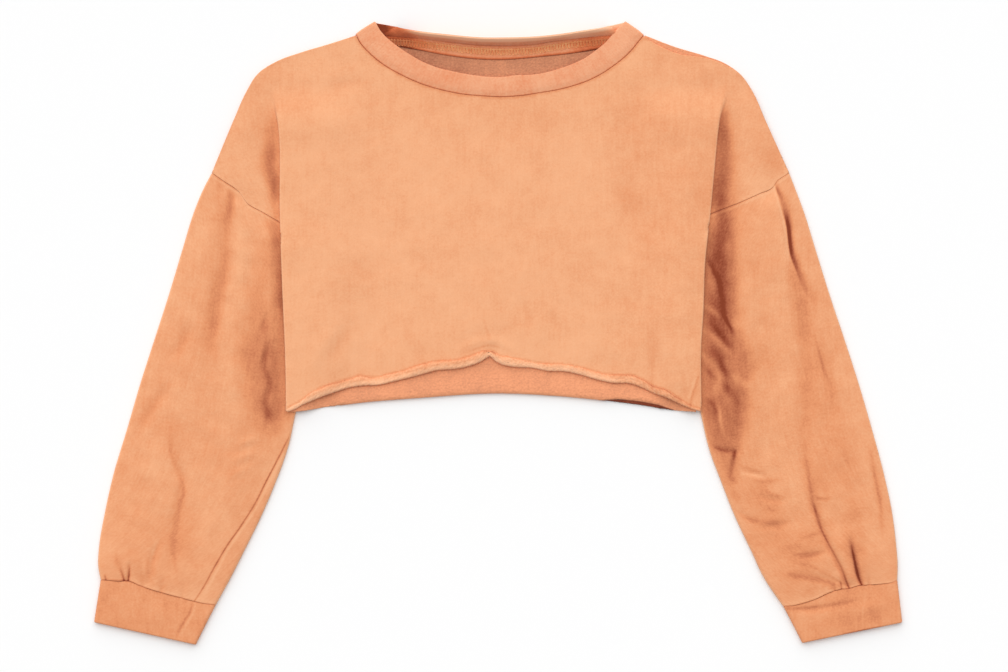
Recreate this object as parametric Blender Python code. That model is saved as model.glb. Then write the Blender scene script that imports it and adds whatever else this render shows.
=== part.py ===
"""A cropped French terry sweatshirt laid flat on a board, as its cut and sewn panels.

Places are read on the laying-out board, in millimetres: x to the right and y down from the
board's far left corner, z up from its face. Every panel is the middle surface of its cloth,
worked out from its edges and folds, and then given its thickness. The body lies over the
sleeves, so each side of the front is pleated and turns under at a fold.
"""

import math

import bmesh
import bpy
import numpy as np
from mathutils.geometry import delaunay_2d_cdt

MM = 0.001
BOARD_X = 498.5  # the garment's middle on the board
BOARD_Y = 332.5

CLOTH = 1.5  # one layer of brushed-loop terry
BAND = 2.7  # the neckband and the cuffs are double cloth
SEAM = 0.35  # parting between two pieces that are sewn together
BACK_REST = CLOTH / 2  # middle of the back where it lies on the board
FRONT_REST = 2.9  # middle of the front where it lies on the back
SLEEVE_REST = 2.95  # middle of a sleeve's upper layer where the body lies on it
SLEEVE_MOST = 6.2  # the highest that it rises elsewhere
CUFF_STEP = 1.3  # how much higher the sleeve's upper layer is where it is gathered into its cuff
BACK_OVER_SLEEVE = 5.5
FRONT_OVER_SLEEVE = 8.0

PLEAT_RADIUS = 1.0  # bend of the cloth's middle at the side pleats
PLEAT_DEPTH = 14.0
PLEAT_TOP = (92.0, 120.0)  # y where the pleat starts, and where it is folded flat
PLEAT_FULL = 222.0
SIDE_TURN = 0.65  # share of the fold's half turn that the front has below the armhole

ROLL_WIDE = 3.2  # half width and half height of the rolled raw hem
ROLL_HIGH = 2.2
BACK_ROLL_HIGH = 1.8
FRONT_ROLL_TURN = math.radians(240)
BACK_ROLL_TURN = math.radians(205)
HEM_LIFT = 1.0  # the front rises this much to its rolled hem
HEM_SLOPE = (42, 8)  # and does so between these distances from its edge
CROWN = (495, 235, 1.3, 120, 85)  # fuller middle of the front: x, y, rise, half width and half height
SIDE_SLOPE = (2, 60)  # the front comes down off the sleeves between these distances from their inner folds
BACK_SLOPE = 28  # the back comes down off the sleeves over this distance
BACK_RISE_FROM = 210  # y below which it starts to rise over them
BACK_RISE = 14  # and this much further down it has risen
BACK_ROLL_SLOPE = 26
BACK_ROLL_L = (325, 352)  # x where the back's rolled hem starts and is full, at each side
BACK_ROLL_R = (676, 650)
BACK_INSET = 4.2  # the back's side edges lie this far inside the front's folds
UNDER_FOLD = (290, 703)  # x where the armhole seams go under the front's folds
SIDE_TOP = (296, 694)  # x on the armhole seams where the front's side edges start
BACK_SEAM_END = (314, 685)  # x where the back leaves the armhole seams

STRIP = 1.0  # the seam allowance inside the back of the neck, overlocked together
STRIP_START = 1.2  # from the seam to where it lies flat
STRIP_LIFT = 0.3  # above the back

BODY_GRID = 19.0  # spacing of the points inside the front, and inside the back
BACK_GRID = 22.0
EDGE_STEP = 15.0
STRIDES = 24  # parts that a bend is summed over

# Edges of the body: (x, y).
SHOULDER_L = [(355, 36), (330, 44), (300, 53), (278, 61), (257, 75), (247, 91), (234, 120), (212, 173)]
SHOULDER_R = [(645, 35.5), (675, 47), (705, 56), (724, 63), (741, 75), (752, 91), (765, 120), (789, 173)]
FRONT_SHOULDER_R = [
    (644, 37), (659, 46), (679, 54), (705, 58), (724, 64.5), (741, 75.5), (752, 91), (765, 120), (789, 173),
]
NECK_FRONT = [
    (356, 35), (364, 48), (377, 61), (401, 76), (427, 87), (457, 94), (500, 97), (535, 95), (568, 88),
    (600, 74), (622, 58), (637, 45), (643.5, 36),
]
NECK_BACK = [
    (356, 35), (380, 36.5), (410, 38), (440, 41.5), (470, 45), (500, 46.5), (530, 45.5), (560, 41),
    (585, 38), (612, 36), (643.5, 36),
]
ARMHOLE_L = [(212, 173), (238, 191), (259, 206), (280, 221.5), (297, 233.5), (316, 246.5)]
ARMHOLE_R = [(789, 173), (776, 183), (760, 192.5), (740, 202.5), (712, 213.5), (695, 221.5), (683, 228)]
FOLD_L = [(274, 85), (276, 102), (279, 129), (280, 210), (282.5, 288), (285.5, 360), (286, 402), (285, 425)]
FOLD_R = [
    (729, 85), (726, 102), (719, 129), (714, 180), (710, 216), (705, 261), (703, 315), (701, 345),
    (701, 390), (702, 425),
]
FRONT_HEM = [
    (280, 414), (293, 411), (320, 397), (350, 388), (380, 385), (410, 375), (440, 367), (470, 363),
    (483, 358), (489, 354.5), (497, 362), (530, 366), (560, 369), (590, 378), (620, 384), (638, 387),
    (665, 400), (689, 409), (707, 413),
]
BACK_HEM = [
    (284, 413), (300, 412), (330, 407), (360, 403), (420, 398), (500, 393.5), (555, 396), (615, 402),
    (645, 406), (675, 411), (703, 413),
]
# Where the back's side edges leave the armhole seams.
NOTCH_L = [(321.5, 249), (320, 256), (316, 263), (301, 265), (286, 269)]
NOTCH_R = [(677.5, 231), (679, 238), (683, 245), (694, 247), (706, 251)]

# Hidden inner fold of each sleeve, under the body: (x, y), ending where the sleeve shows again.
TUCK_L = [(316, 246.5), (319, 275), (318, 305), (314, 340), (306, 375), (297, 408)]
TUCK_R = [(683, 228), (679, 262), (680, 305), (685, 345), (692, 380), (699.5, 410)]

# Neckband: free (folded) edge of the half in front and of the half behind.
BAND_FREE_FRONT = [
    (375, 22), (390, 40), (403, 50), (427, 63), (453, 73), (492, 77), (513, 76), (548, 73), (570, 65),
    (594, 52), (611, 37), (625, 23),
]
BAND_FREE_BACK = [
    (375, 22), (390, 24.5), (405, 28.5), (420, 32), (450, 35.5), (480, 38), (510, 38), (540, 36.5),
    (570, 32), (600, 27), (614, 24), (625, 23),
]
BAND_WIDTH = 18.5  # of the half behind, which stands
BAND_FRONT_WIDTH = 22.0
BAND_FRONT_REST = 3.75
NECK_CREASE = 1.8  # room for the neckband where it is creased at the shoulders
CREASE_SHARE = 1 / 12  # share of each half that the crease takes up at a shoulder
CREASE_WAY = (0.57, 0.82)  # it bulges outwards and towards the board's far side in these shares

# Free edge of the seam allowance inside the back of the neck.
STRIP_EDGE = [
    (402, 45), (420, 50.5), (440, 54.5), (470, 59), (500, 60), (530, 58.5), (545, 57), (571, 53), (598, 48),
]

# Sleeve sections from armhole to cuff: outer x, y, inner x, y, and the rise of the upper layer.
SLEEVE_L = [
    (212.0, 174.0, 315.6, 247.5, 0.0),
    (203.5, 190.0, 317.5, 261.0, 0.9),
    (195.0, 210.0, 318.8, 280.0, 1.4),
    (182.5, 250.0, 317.5, 312.0, 1.9),
    (169.0, 295.0, 313.0, 347.0, 2.2),
    (154.5, 340.0, 305.0, 380.0, 2.2),
    (141.0, 382.0, 296.5, 410.0, 2.3),
    (127.0, 430.0, 288.0, 448.0, 2.4),
    (113.5, 475.0, 275.0, 484.0, 2.6),
    (105.0, 513.0, 260.0, 519.0, 2.7),
    (99.5, 545.0, 244.0, 551.0, 2.7),
    (98.5, 566.0, 229.0, 580.0, 2.2),
    (101.0, 579.5, 214.0, 604.0, 1.0),
]
SLEEVE_R = [
    (789.0, 174.0, 683.2, 229.0, 0.0),
    (794.5, 188.0, 680.5, 246.0, 0.9),
    (803.0, 210.0, 679.0, 268.0, 1.4),
    (815.5, 250.0, 679.8, 303.0, 1.9),
    (829.5, 295.0, 684.0, 341.0, 2.2),
    (844.5, 340.0, 691.5, 378.0, 2.2),
    (858.0, 382.0, 700.0, 411.0, 2.3),
    (872.0, 430.0, 709.0, 449.0, 2.4),
    (884.0, 475.0, 722.0, 484.0, 2.6),
    (892.0, 513.0, 736.0, 519.0, 2.7),
    (896.0, 545.0, 751.5, 551.0, 2.7),
    (897.5, 566.0, 766.0, 580.0, 2.2),
    (897.0, 580.0, 786.0, 604.0, 1.0),
]
CUFF_BOW = 4.0  # how far the cuff seam bows towards the sleeve
SLEEVE_CLEAR = (4, 34)  # a sleeve rises to its full height between these distances from the body's fold
BODY_END = 408  # y where the body ends above the sleeves
SLEEVE_CLEAR_BELOW = (385, 450)  # and beside the body's fold it rises between these y

# Cuff corners: outer and inner end of the seam, then of the lower edge.
CUFF_L = [(101, 579.5), (214, 604), (95.5, 622), (196, 644.5)]
CUFF_R = [(897, 580), (786, 604), (902, 624), (804, 644.5)]

# Largest folds: points along the fold, rise (below 0 for a trough) and half width.
BODY_FOLDS = [
    ([(492, 339), (484, 300), (470, 262)], 1.3, 13),
    ([(455, 352), (485, 340), (515, 352)], 1.2, 9),
    ([(360, 318), (325, 364)], 0.9, 13),
    ([(680, 190), (682, 290), (678, 370)], 1.2, 18),
    ([(618, 150), (634, 250)], -0.7, 14),
]
SLEEVE_FOLDS_L = [
    ([(238, 205), (240, 300), (232, 410)], 1.6, 13),
    ([(222, 210), (224, 275), (212, 345)], -1.6, 12),
    ([(268, 330), (263, 362), (270, 385), (267, 418)], -1.2, 9),
    ([(190, 330), (160, 400), (138, 432)], -1.3, 12),
    ([(174, 432), (184, 490), (176, 530), (170, 572)], -1.7, 11),
    ([(160, 530), (153, 560), (150, 584)], 1.5, 9),
    ([(122, 552), (124, 580)], -1.4, 7),
    ([(238, 440), (262, 470)], 0.9, 9),
]
SLEEVE_FOLDS_R = [
    ([(778, 192), (788, 240), (801, 283)], 1.8, 10),
    ([(793, 215), (799, 280), (804, 400), (806, 470)], -1.8, 11),
    ([(815, 505), (830, 548), (847, 583)], -1.6, 10),
    ([(850, 535), (857, 565), (861, 584)], -1.6, 7),
    ([(820, 335), (828, 385), (836, 425)], -1.1, 11),
    ([(722, 365), (733, 385), (737, 402)], -1.3, 9),
    ([(740, 468), (768, 478)], -1.0, 8),
    ([(752, 512), (792, 520)], -1.0, 9),
    ([(790, 562), (836, 556)], -1.2, 8),
]

COLOURS = {
    "front": (0.87, 0.42, 0.22, 1.0),
    "back": (0.82, 0.38, 0.21, 1.0),
    "sleeve": (0.84, 0.39, 0.20, 1.0),
    "trim": (0.79, 0.35, 0.18, 1.0),
}


def curve(points, step):
    """Points about a step apart on a smooth curve through the given ones."""
    p = np.array(points, float)
    run = np.linalg.norm(np.diff(p[:, :2], axis=0), axis=1)
    t = np.concatenate([[0.0], np.cumsum(run)])
    slope = np.diff(p, axis=0) / run[:, None]
    tangent = np.vstack([slope[:1], slope])
    if len(p) > 2:
        before, after = run[:-1, None], run[1:, None]
        tangent[1:-1] = (slope[:-1] * after + slope[1:] * before) / (before + after)
    s = np.linspace(0.0, t[-1], max(2, round(t[-1] / step) + 1))
    k = np.clip(np.searchsorted(t, s, side="right") - 1, 0, len(run) - 1)
    h = run[k][:, None]
    u = (s - t[k])[:, None] / h
    return (
        (1 + 2 * u) * (1 - u) ** 2 * p[k]
        + u * (1 - u) ** 2 * h * tangent[k]
        + u * u * (3 - 2 * u) * p[k + 1]
        + u * u * (u - 1) * h * tangent[k + 1]
    )


def along(points, share):
    """The place at a share of an edge's length."""
    line = curve(points, 2.0)
    return line[min(len(line) - 1, round(share * (len(line) - 1)))]


def across(points):
    """The y of an edge at any x."""
    line = curve(points, 3.0)
    line = line[np.argsort(line[:, 0])]
    return lambda x: float(np.interp(x, line[:, 0], line[:, 1]))


def down(points):
    """The x of an edge at any y."""
    line = curve(points, 3.0)
    line = line[np.argsort(line[:, 1])]
    return lambda y: float(np.interp(y, line[:, 1], line[:, 0]))


def ramp(value, start, end):
    """0 at start, 1 at end, with soft ends."""
    u = min(1.0, max(0.0, (value - start) / (end - start)))
    return u * u * (3 - 2 * u)


def fold_field(folds):
    """The height that a table of folds adds at a place."""
    lines = [(curve(points, 8.0), rise, half) for points, rise, half in folds]

    def height(x, y):
        total = 0.0
        for line, rise, half in lines:
            a, b = line[:-1], line[1:]
            along = b - a
            u = ((x - a[:, 0]) * along[:, 0] + (y - a[:, 1]) * along[:, 1]) / (along**2).sum(axis=1)
            near = a + np.clip(u, 0, 1)[:, None] * along
            away = float(np.hypot(near[:, 0] - x, near[:, 1] - y).min())
            if away < 2.5 * half:
                total += rise * math.exp(-((away / half) ** 2))
        return total

    return height


front_hem = across(FRONT_HEM)
back_hem = across(BACK_HEM)
armhole_l = across(ARMHOLE_L)
armhole_r = across(ARMHOLE_R)
fold_l = down(FOLD_L)
fold_r = down(FOLD_R)
tuck_l = down(TUCK_L)
tuck_r = down(TUCK_R)
body_folds = fold_field(BODY_FOLDS)

PLEAT_ARC = math.pi * PLEAT_RADIUS


def pleat(y):
    """How far the cloth turns at the side pleat, and how deep the pleat lies, at a height y."""
    turn = math.pi * ramp(y, *PLEAT_TOP)
    depth = PLEAT_DEPTH * ramp(y, PLEAT_TOP[1] - 6, PLEAT_FULL)
    return max(turn, 0.01), depth


def pleat_path(s, y):
    """Distance outwards and downwards after a length s of cloth past the start of the pleat."""
    turn, depth = pleat(y)
    radius = PLEAT_ARC / turn
    out = down_by = 0.0
    a = turn * min(s, PLEAT_ARC) / PLEAT_ARC
    out += radius * math.sin(a)
    down_by += radius * (1 - math.cos(a))
    flat = min(max(s - PLEAT_ARC, 0.0), depth)
    out += flat * math.cos(turn)
    down_by += flat * math.sin(turn)
    b = turn * min(max(s - PLEAT_ARC - depth, 0.0), PLEAT_ARC) / PLEAT_ARC
    out += radius * (math.sin(turn) - math.sin(turn - b))
    down_by += radius * (math.cos(turn - b) - math.cos(turn))
    out += max(s - 2 * PLEAT_ARC - depth, 0.0)
    return out, down_by


def pleat_length(y):
    """Length of cloth from the start of the pleat to where the lower layer runs out from it."""
    return 2 * PLEAT_ARC + pleat(y)[1]


def pleat_take_up(y):
    """How much narrower the pleat makes the panel on one side."""
    return pleat_length(y) - pleat_path(pleat_length(y), y)[0]


def fold_start_l(y):
    return fold_l(y) + PLEAT_RADIUS + CLOTH / 2


def fold_start_r(y):
    return fold_r(y) - PLEAT_RADIUS - CLOTH / 2


def side_rise(y):
    """How far the front is lifted beside its folds."""
    over_pleat = pleat_path(pleat_length(y), y)[1] * ramp(y, PLEAT_TOP[0] - 4, PLEAT_TOP[0] + 10)
    over_sleeve = FRONT_OVER_SLEEVE - FRONT_REST
    share = ramp(y, PLEAT_FULL - 6, PLEAT_FULL + 26)
    return over_pleat * (1 - share) + over_sleeve * share


def front_height(x, y):
    """Middle of the front's upper layer."""
    left = 1 - ramp(x - tuck_l(y), *SIDE_SLOPE)
    right = 1 - ramp(tuck_r(y) - x, *SIDE_SLOPE)
    crown_x, crown_y, crown_rise, half_wide, half_high = CROWN
    crown = crown_rise * math.exp(-(((x - crown_x) / half_wide) ** 2) - ((y - crown_y) / half_high) ** 2)
    hem = HEM_LIFT * ramp(front_hem(x) - y, *HEM_SLOPE)
    return FRONT_REST + max(left, right) * side_rise(y) + crown + hem + body_folds(x, y)


def roll(length, turn_limit, high):
    """Reach past the roll's start and rise, after a length of cloth round the rolled hem."""
    reach = rise = gone = 0.0
    for k in range(STRIDES):
        a = turn_limit * (k + 0.5) / STRIDES
        out, up = (v * turn_limit / STRIDES for v in (ROLL_WIDE * math.cos(a), high * math.sin(a)))
        stride = math.hypot(out, up)
        part = min(1.0, max(0.0, (length - gone) / stride))
        reach += part * out
        rise += part * up
        gone += stride
    return reach, rise


def roll_length(turn_limit, high):
    """Length of cloth round the whole roll."""
    a = (np.arange(STRIDES) + 0.5) * turn_limit / STRIDES
    return float(np.hypot(ROLL_WIDE * np.cos(a), high * np.sin(a)).sum() * turn_limit / STRIDES)


FRONT_ROLL = roll_length(FRONT_ROLL_TURN, ROLL_HIGH)
BACK_ROLL = roll_length(BACK_ROLL_TURN, BACK_ROLL_HIGH)


def front_place(x, y):
    """Where a point of the front's flat pattern lies."""
    start = front_hem(x) - ROLL_WIDE - CLOTH / 2
    past = y - start
    lift = 0.0
    if past > 0:
        reach, lift = roll(past, FRONT_ROLL_TURN, ROLL_HIGH)
        y = start + reach
    left, right = fold_start_l(y), fold_start_r(y)
    if x < left:
        out, drop = pleat_path(left - x, y)
        return left - out, y, front_height(left, y) - drop + lift
    if x > right:
        out, drop = pleat_path(x - right, y)
        return right + out, y, front_height(right, y) - drop + lift
    return x, y, front_height(x, y) + lift


def back_roll_share(x):
    """The back's hem is rolled under between the sleeves, and lies flat on them."""
    return ramp(x, *BACK_ROLL_L) * ramp(x, *BACK_ROLL_R)


def back_height(x, y):
    """Middle of the back: on the board, and up over the sleeves under its sides."""
    left = (1 - ramp(x - tuck_l(y), 1, BACK_SLOPE)) * ramp(y, armhole_l(x), armhole_l(x) + BACK_RISE)
    right = (1 - ramp(tuck_r(y) - x, 1, BACK_SLOPE)) * ramp(y, armhole_r(x), armhole_r(x) + BACK_RISE)
    over = max(left, right) if y > BACK_RISE_FROM else 0.0
    hem = 2 * BACK_ROLL_HIGH * back_roll_share(x) * ramp(back_hem(x) - y, BACK_ROLL_SLOPE, ROLL_WIDE)
    return BACK_REST + over * (BACK_OVER_SLEEVE - BACK_REST) + hem


def back_place(x, y):
    """Where a point of the back's flat pattern lies."""
    start = back_hem(x) - (ROLL_WIDE * back_roll_share(x) + CLOTH / 2)
    past = y - start
    if past <= 0:
        return x, y, back_height(x, y)
    reach, fall = roll(past, BACK_ROLL_TURN, BACK_ROLL_HIGH)
    return x, start + reach, back_height(x, start) - fall * back_roll_share(x)


def inside(polygon, x, y):
    """Whether each point lies inside the polygon."""
    px, py = polygon[:, 0], polygon[:, 1]
    qx, qy = np.roll(px, -1), np.roll(py, -1)
    crosses = (py[:, None] > y) != (qy[:, None] > y)
    at_x = px[:, None] + (y - py[:, None]) / np.where(qy == py, 1e-9, qy - py)[:, None] * (qx - px)[:, None]
    return (np.logical_and(crosses, x < at_x).sum(axis=0) % 2) == 1


def joined(*lines):
    """One closed outline from lines that follow on from each other."""
    points = [lines[0][0]]
    for line in lines:
        for point in line:
            if math.hypot(point[0] - points[-1][0], point[1] - points[-1][1]) > 0.2:
                points.append(point)
    if math.hypot(points[0][0] - points[-1][0], points[0][1] - points[-1][1]) < 0.2:
        points.pop()
    return np.array(points, float)


def material(slot):
    """The plain colour that shows which piece of the pattern a panel is."""
    made = bpy.data.materials.get(slot)
    if not made:
        made = bpy.data.materials.new(slot)
        made.use_nodes = True
        shader = made.node_tree.nodes["Principled BSDF"]
        shader.inputs["Base Color"].default_value = COLOURS[slot]
        shader.inputs["Roughness"].default_value = 0.9
        shader.inputs["Metallic"].default_value = 0.0
    return made


def on_board(x, y, z):
    return ((x - BOARD_X) * MM, (BOARD_Y - y) * MM, z * MM)


def cloth(name, verts, faces, thickness, slot):
    """A piece of cloth from its middle surface, with its thickness."""
    mesh = bpy.data.meshes.new(name)
    mesh.from_pydata([on_board(*v) for v in verts], [], faces)
    mesh.materials.append(material(slot))
    mesh.shade_smooth()
    bm = bmesh.new()
    bm.from_mesh(mesh)
    bmesh.ops.recalc_face_normals(bm, faces=bm.faces)
    bm.to_mesh(mesh)
    bm.free()
    obj = bpy.data.objects.new(name, mesh)
    bpy.context.scene.collection.objects.link(obj)
    wall = obj.modifiers.new("thickness", "SOLIDIFY")
    wall.thickness = thickness * MM
    wall.offset = 0.0
    return obj


def panel(name, outline, ties, grid, place, slot):
    """A cut panel: its flat pattern filled with points, then laid in place.

    The ties are lines of points that the mesh keeps, such as those along a fold.
    """
    fixed = np.vstack([outline] + ties)
    low, high = outline.min(axis=0), outline.max(axis=0)
    rows = np.arange(low[1], high[1], grid * 0.87)
    points = np.array([
        (x + (k % 2) * grid / 2, y)
        for k, y in enumerate(rows)
        for x in np.arange(low[0], high[0], grid)
    ])
    points = points[inside(outline, points[:, 0], points[:, 1])]
    apart = np.sqrt(((points[:, None] - fixed[None]) ** 2).sum(axis=2)).min(axis=1)
    points = points[apart > 0.6 * grid]
    edges = [(k, (k + 1) % len(outline)) for k in range(len(outline))]
    first = len(outline)
    for tie in ties:
        edges += [(first + k, first + k + 1) for k in range(len(tie) - 1)]
        first += len(tie)
    flat = [tuple(map(float, p)) for p in np.vstack([fixed, points])]
    verts, _, faces, *_ = delaunay_2d_cdt(flat, edges, [], 1, 1e-4)
    return cloth(name, [place(*v) for v in verts], [tuple(f) for f in faces], CLOTH, slot)


def outward_l(x, y):
    """The pattern's x for a place on the lower layer, left of the pleat."""
    return x - pleat_take_up(y)


def outward_r(x, y):
    """The same right of it."""
    return x + pleat_take_up(y)


def front_panel():
    """The front with both drop shoulders, pleated at its sides and rolled up at its hem."""
    shoulder_l = [(outward_l(x, y), y) for x, y in curve(SHOULDER_L, EDGE_STEP)]
    shoulder_r = [(outward_r(x, y), y) for x, y in curve(FRONT_SHOULDER_R, EDGE_STEP)]
    seam_l = [p for p in curve(ARMHOLE_L, EDGE_STEP) if p[0] < UNDER_FOLD[0]]
    seam_r = [p for p in curve(ARMHOLE_R, EDGE_STEP) if p[0] > UNDER_FOLD[1]]
    neck = curve(NECK_FRONT, EDGE_STEP)
    neck[:, 1] += SEAM * 0.7
    y_l, y_r = armhole_l(SIDE_TOP[0]), armhole_r(SIDE_TOP[1])
    side_s = PLEAT_ARC * SIDE_TURN
    # From the pleat's lower layer to its side edge: length past the fold, and how much further down.
    turns = (
        (PLEAT_ARC * 2 + PLEAT_DEPTH, 0.0), (PLEAT_ARC + PLEAT_DEPTH, 2.5),
        (PLEAT_ARC + 5, 5.5), (side_s, 9.0),
    )
    turn_l = [(fold_start_l(y_l + more) - s, y_l + more) for s, more in turns]
    turn_r = [(fold_start_r(y_r + more) + s, y_r + more) for s, more in turns]
    side_l = [(fold_start_l(y) - side_s, y) for y in np.arange(y_l + 20, 400, EDGE_STEP)]
    side_r = [(fold_start_r(y) + side_s, y) for y in np.arange(y_r + 20, 400, EDGE_STEP)]
    hem_x = curve(FRONT_HEM, 12.0)[:, 0]
    x_l, x_r = fold_start_l(405) - side_s, fold_start_r(405) + side_s
    hem_x = [x_l] + [x for x in hem_x if x_l + 5 < x < x_r - 5] + [x_r]
    hems = [
        [(x, front_hem(x) - ROLL_WIDE - CLOTH / 2 + share * FRONT_ROLL) for x in hem_x]
        for share in (0.0, 0.2, 0.4, 0.6, 0.8, 1.0)
    ]
    outline = joined(
        [(outward_l(x, y), y) for x, y in seam_l],
        turn_l, side_l, hems[-1], side_r[::-1], turn_r[::-1],
        [(outward_r(x, y), y) for x, y in seam_r[::-1]],
        shoulder_r[::-1], neck[::-1], shoulder_l,
    )
    ties = [np.array(line[1:-1]) for line in hems[:-1]]
    for start, sign, y_end in ((fold_start_l, -1, y_l), (fold_start_r, 1, y_r)):
        upper = np.linspace(PLEAT_TOP[0] - 8, y_end + 1, 17)
        middle = np.linspace(PLEAT_TOP[0] - 8, y_end - 3, 17)
        lower = np.linspace(y_end + 12, 403, 13)
        for share in (0.0, 0.25, 0.5, 0.75, 1.0):
            ties.append(np.array([(start(y) + sign * share * PLEAT_ARC, y) for y in upper]))
            past = [(y, PLEAT_ARC * (1 + share) + pleat(y)[1]) for y in middle if share or pleat(y)[1] > 2]
            ties.append(np.array([(start(y) + sign * s, y) for y, s in past]))
        for share in (0.0, 0.33):
            ties.append(np.array([(start(y) + sign * share * PLEAT_ARC, y) for y in lower]))
    return panel("front_panel", outline, ties, BODY_GRID, front_place, "front")


def back_panel():
    """The back, on the board between the sleeves and over them at its sides."""
    neck = curve(NECK_BACK, EDGE_STEP)
    neck[:, 1] += [SEAM + NECK_CREASE * (1 - ramp(min(x - 355, 645 - x), 6, 34)) for x in neck[:, 0]]
    side_l = [(fold_l(y) + BACK_INSET, y) for y in np.arange(NOTCH_L[-1][1] + 15, 405, EDGE_STEP)]
    side_r = [(fold_r(y) - BACK_INSET, y) for y in np.arange(NOTCH_R[-1][1] + 15, 405, EDGE_STEP)]
    hem_x = [x for x in curve(BACK_HEM, EDGE_STEP)[:, 0] if 292 < x < 697]
    hem_x = [fold_l(405) + BACK_INSET] + hem_x + [fold_r(405) - BACK_INSET]

    def hem(share):
        return [
            (x, back_hem(x) - CLOTH / 2 + (share * BACK_ROLL - ROLL_WIDE) * back_roll_share(x)) for x in hem_x
        ]

    seam_l = [p for p in curve(ARMHOLE_L, EDGE_STEP) if p[0] < BACK_SEAM_END[0]]
    seam_r = [p for p in curve(ARMHOLE_R, EDGE_STEP) if p[0] > BACK_SEAM_END[1]]
    outline = joined(
        seam_l, NOTCH_L, side_l, hem(1.0), side_r[::-1], NOTCH_R[::-1], seam_r[::-1],
        curve(SHOULDER_R, EDGE_STEP)[::-1], neck[::-1], curve(SHOULDER_L, EDGE_STEP),
    )
    ties = []
    for share in (0.0, 0.25, 0.5, 0.75):
        ties.append(np.array([p for p in hem(share) if back_roll_share(p[0]) > 0.25]))
    for away in (2.0, 8.0, 14.0):
        ties.append(np.array([(tuck_l(y) + away, y) for y in np.arange(272, 392, 13.0)]))
        ties.append(np.array([(tuck_r(y) - away, y) for y in np.arange(256, 392, 13.0)]))
    return panel("back_panel", outline, ties, BACK_GRID, back_place, "back")


def tube(name, rings, thickness, slot):
    """A tube of cloth from rings that hold the same number of points."""
    count = len(rings[0])
    verts = [v for ring in rings for v in ring]
    faces = [
        (r * count + k, r * count + (k + 1) % count, (r + 1) * count + (k + 1) % count, (r + 1) * count + k)
        for r in range(len(rings) - 1)
        for k in range(count)
    ]
    return cloth(name, verts, faces, thickness, slot)


def flat_ring(outer, inner, shift_y, low, top_height, upper, lower):
    """One section of a flattened tube, with its two sides turned round.

    The section runs from its outer to its inner point on the lower layer and back on the upper
    one. shift_y moves it along the tube at a share of its width, and top_height gives the middle
    of the upper layer at such a share and a place.
    """
    outer, inner = np.array(outer, float), np.array(inner, float)
    along = inner - outer
    width = float(np.hypot(*along))
    along /= width
    bend = (top_height(0.0, *outer) - low) / 2

    def at(distance):
        share = distance / width
        x, y = outer + along * distance
        return x, y + shift_y(share, x, y)

    ring = []
    for k in range(lower):
        x, y = at(bend + (width - 2 * bend) * k / (lower - 1))
        ring.append((x, y, low))
    for a in (-45, 0, 45):
        x, y = at(width - bend + bend * math.cos(math.radians(a)))
        ring.append((x, y, low + bend + bend * math.sin(math.radians(a))))
    for k in range(upper):
        share = 1 - k / (upper - 1)
        x, y = at(bend + (width - 2 * bend) * share)
        ring.append((x, y, top_height(share, x, y)))
    for a in (135, 180, 225):
        x, y = at(bend + bend * math.cos(math.radians(a)))
        ring.append((x, y, low + bend + bend * math.sin(math.radians(a))))
    return ring


def sleeve(name, sections, folds, body_edge, armhole, side):
    """A full sleeve, pressed flat, with its underarm tucked below the body."""
    table = curve(sections, 20.0)
    head = table[0]
    folds_at = fold_field(folds)
    rings = []
    for k, (ox, oy, ix, iy, rise) in enumerate(table):
        down_share = k / (len(table) - 1)
        at_head = 1 - ramp(down_share, 0.0, 0.12)
        at_cuff = ramp(down_share, 0.8, 1.0)

        def top(share, x, y):
            beside = side * (x - body_edge(y))
            clear = ramp(beside, *SLEEVE_CLEAR)
            if y > BODY_END and clear < 1.0:
                clear = ramp(y, *SLEEVE_CLEAR_BELOW)
            rounded = min(1.0, (4 * share * (1 - share)) ** 0.7 * 1.15)
            shown = (rise + folds_at(x, y)) * rounded * ramp(down_share, 0.0, 0.05) * clear
            height = SLEEVE_REST + CUFF_STEP * at_cuff + shown
            return min(max(height, SLEEVE_REST - 0.25), SLEEVE_MOST)

        def along_seams(share, x, y):
            first_x = head[0] + (head[2] - head[0]) * share
            first_y = head[1] + (head[3] - head[1]) * share
            to_seam = armhole(first_x) + 2.2 * SEAM - first_y
            return to_seam * at_head - CUFF_BOW * 4 * share * (1 - share) * at_cuff

        run = np.array([ix - ox, iy - oy])
        run /= np.hypot(*run)
        parting = np.array([0.0, -1.1 * SEAM * (k == len(table) - 1)])
        outer = np.array([ox, oy]) + run * CLOTH / 2 + parting
        inner = np.array([ix, iy]) - run * CLOTH / 2 + parting
        rings.append(flat_ring(outer, inner, along_seams, CLOTH / 2, top, upper=15, lower=8))
    return tube(name, rings, CLOTH, "sleeve")


def cuff(name, corners):
    """A straight band of double cloth, folded at its lower edge and pressed flat."""
    seam_out, seam_in, low_out, low_in = (np.array(p, float) for p in corners)
    rings = []
    for k in range(5):
        share = k / 4
        outer = seam_out + (low_out - seam_out) * share
        inner = seam_in + (low_in - seam_in) * share
        run = (inner - outer) / np.hypot(*(inner - outer))
        low = BAND / 2
        crown = 0.5 * math.sin(math.pi * share)
        rings.append(flat_ring(
            outer + run * BAND / 2, inner - run * BAND / 2,
            lambda s, x, y: -CUFF_BOW * 4 * s * (1 - s) * (1 - share), low,
            lambda s, x, y: low + BAND + SEAM + crown * min(1.0, 6 * s * (1 - s)), upper=10, lower=8,
        ))
    return tube(name, rings, BAND, "trim")


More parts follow.
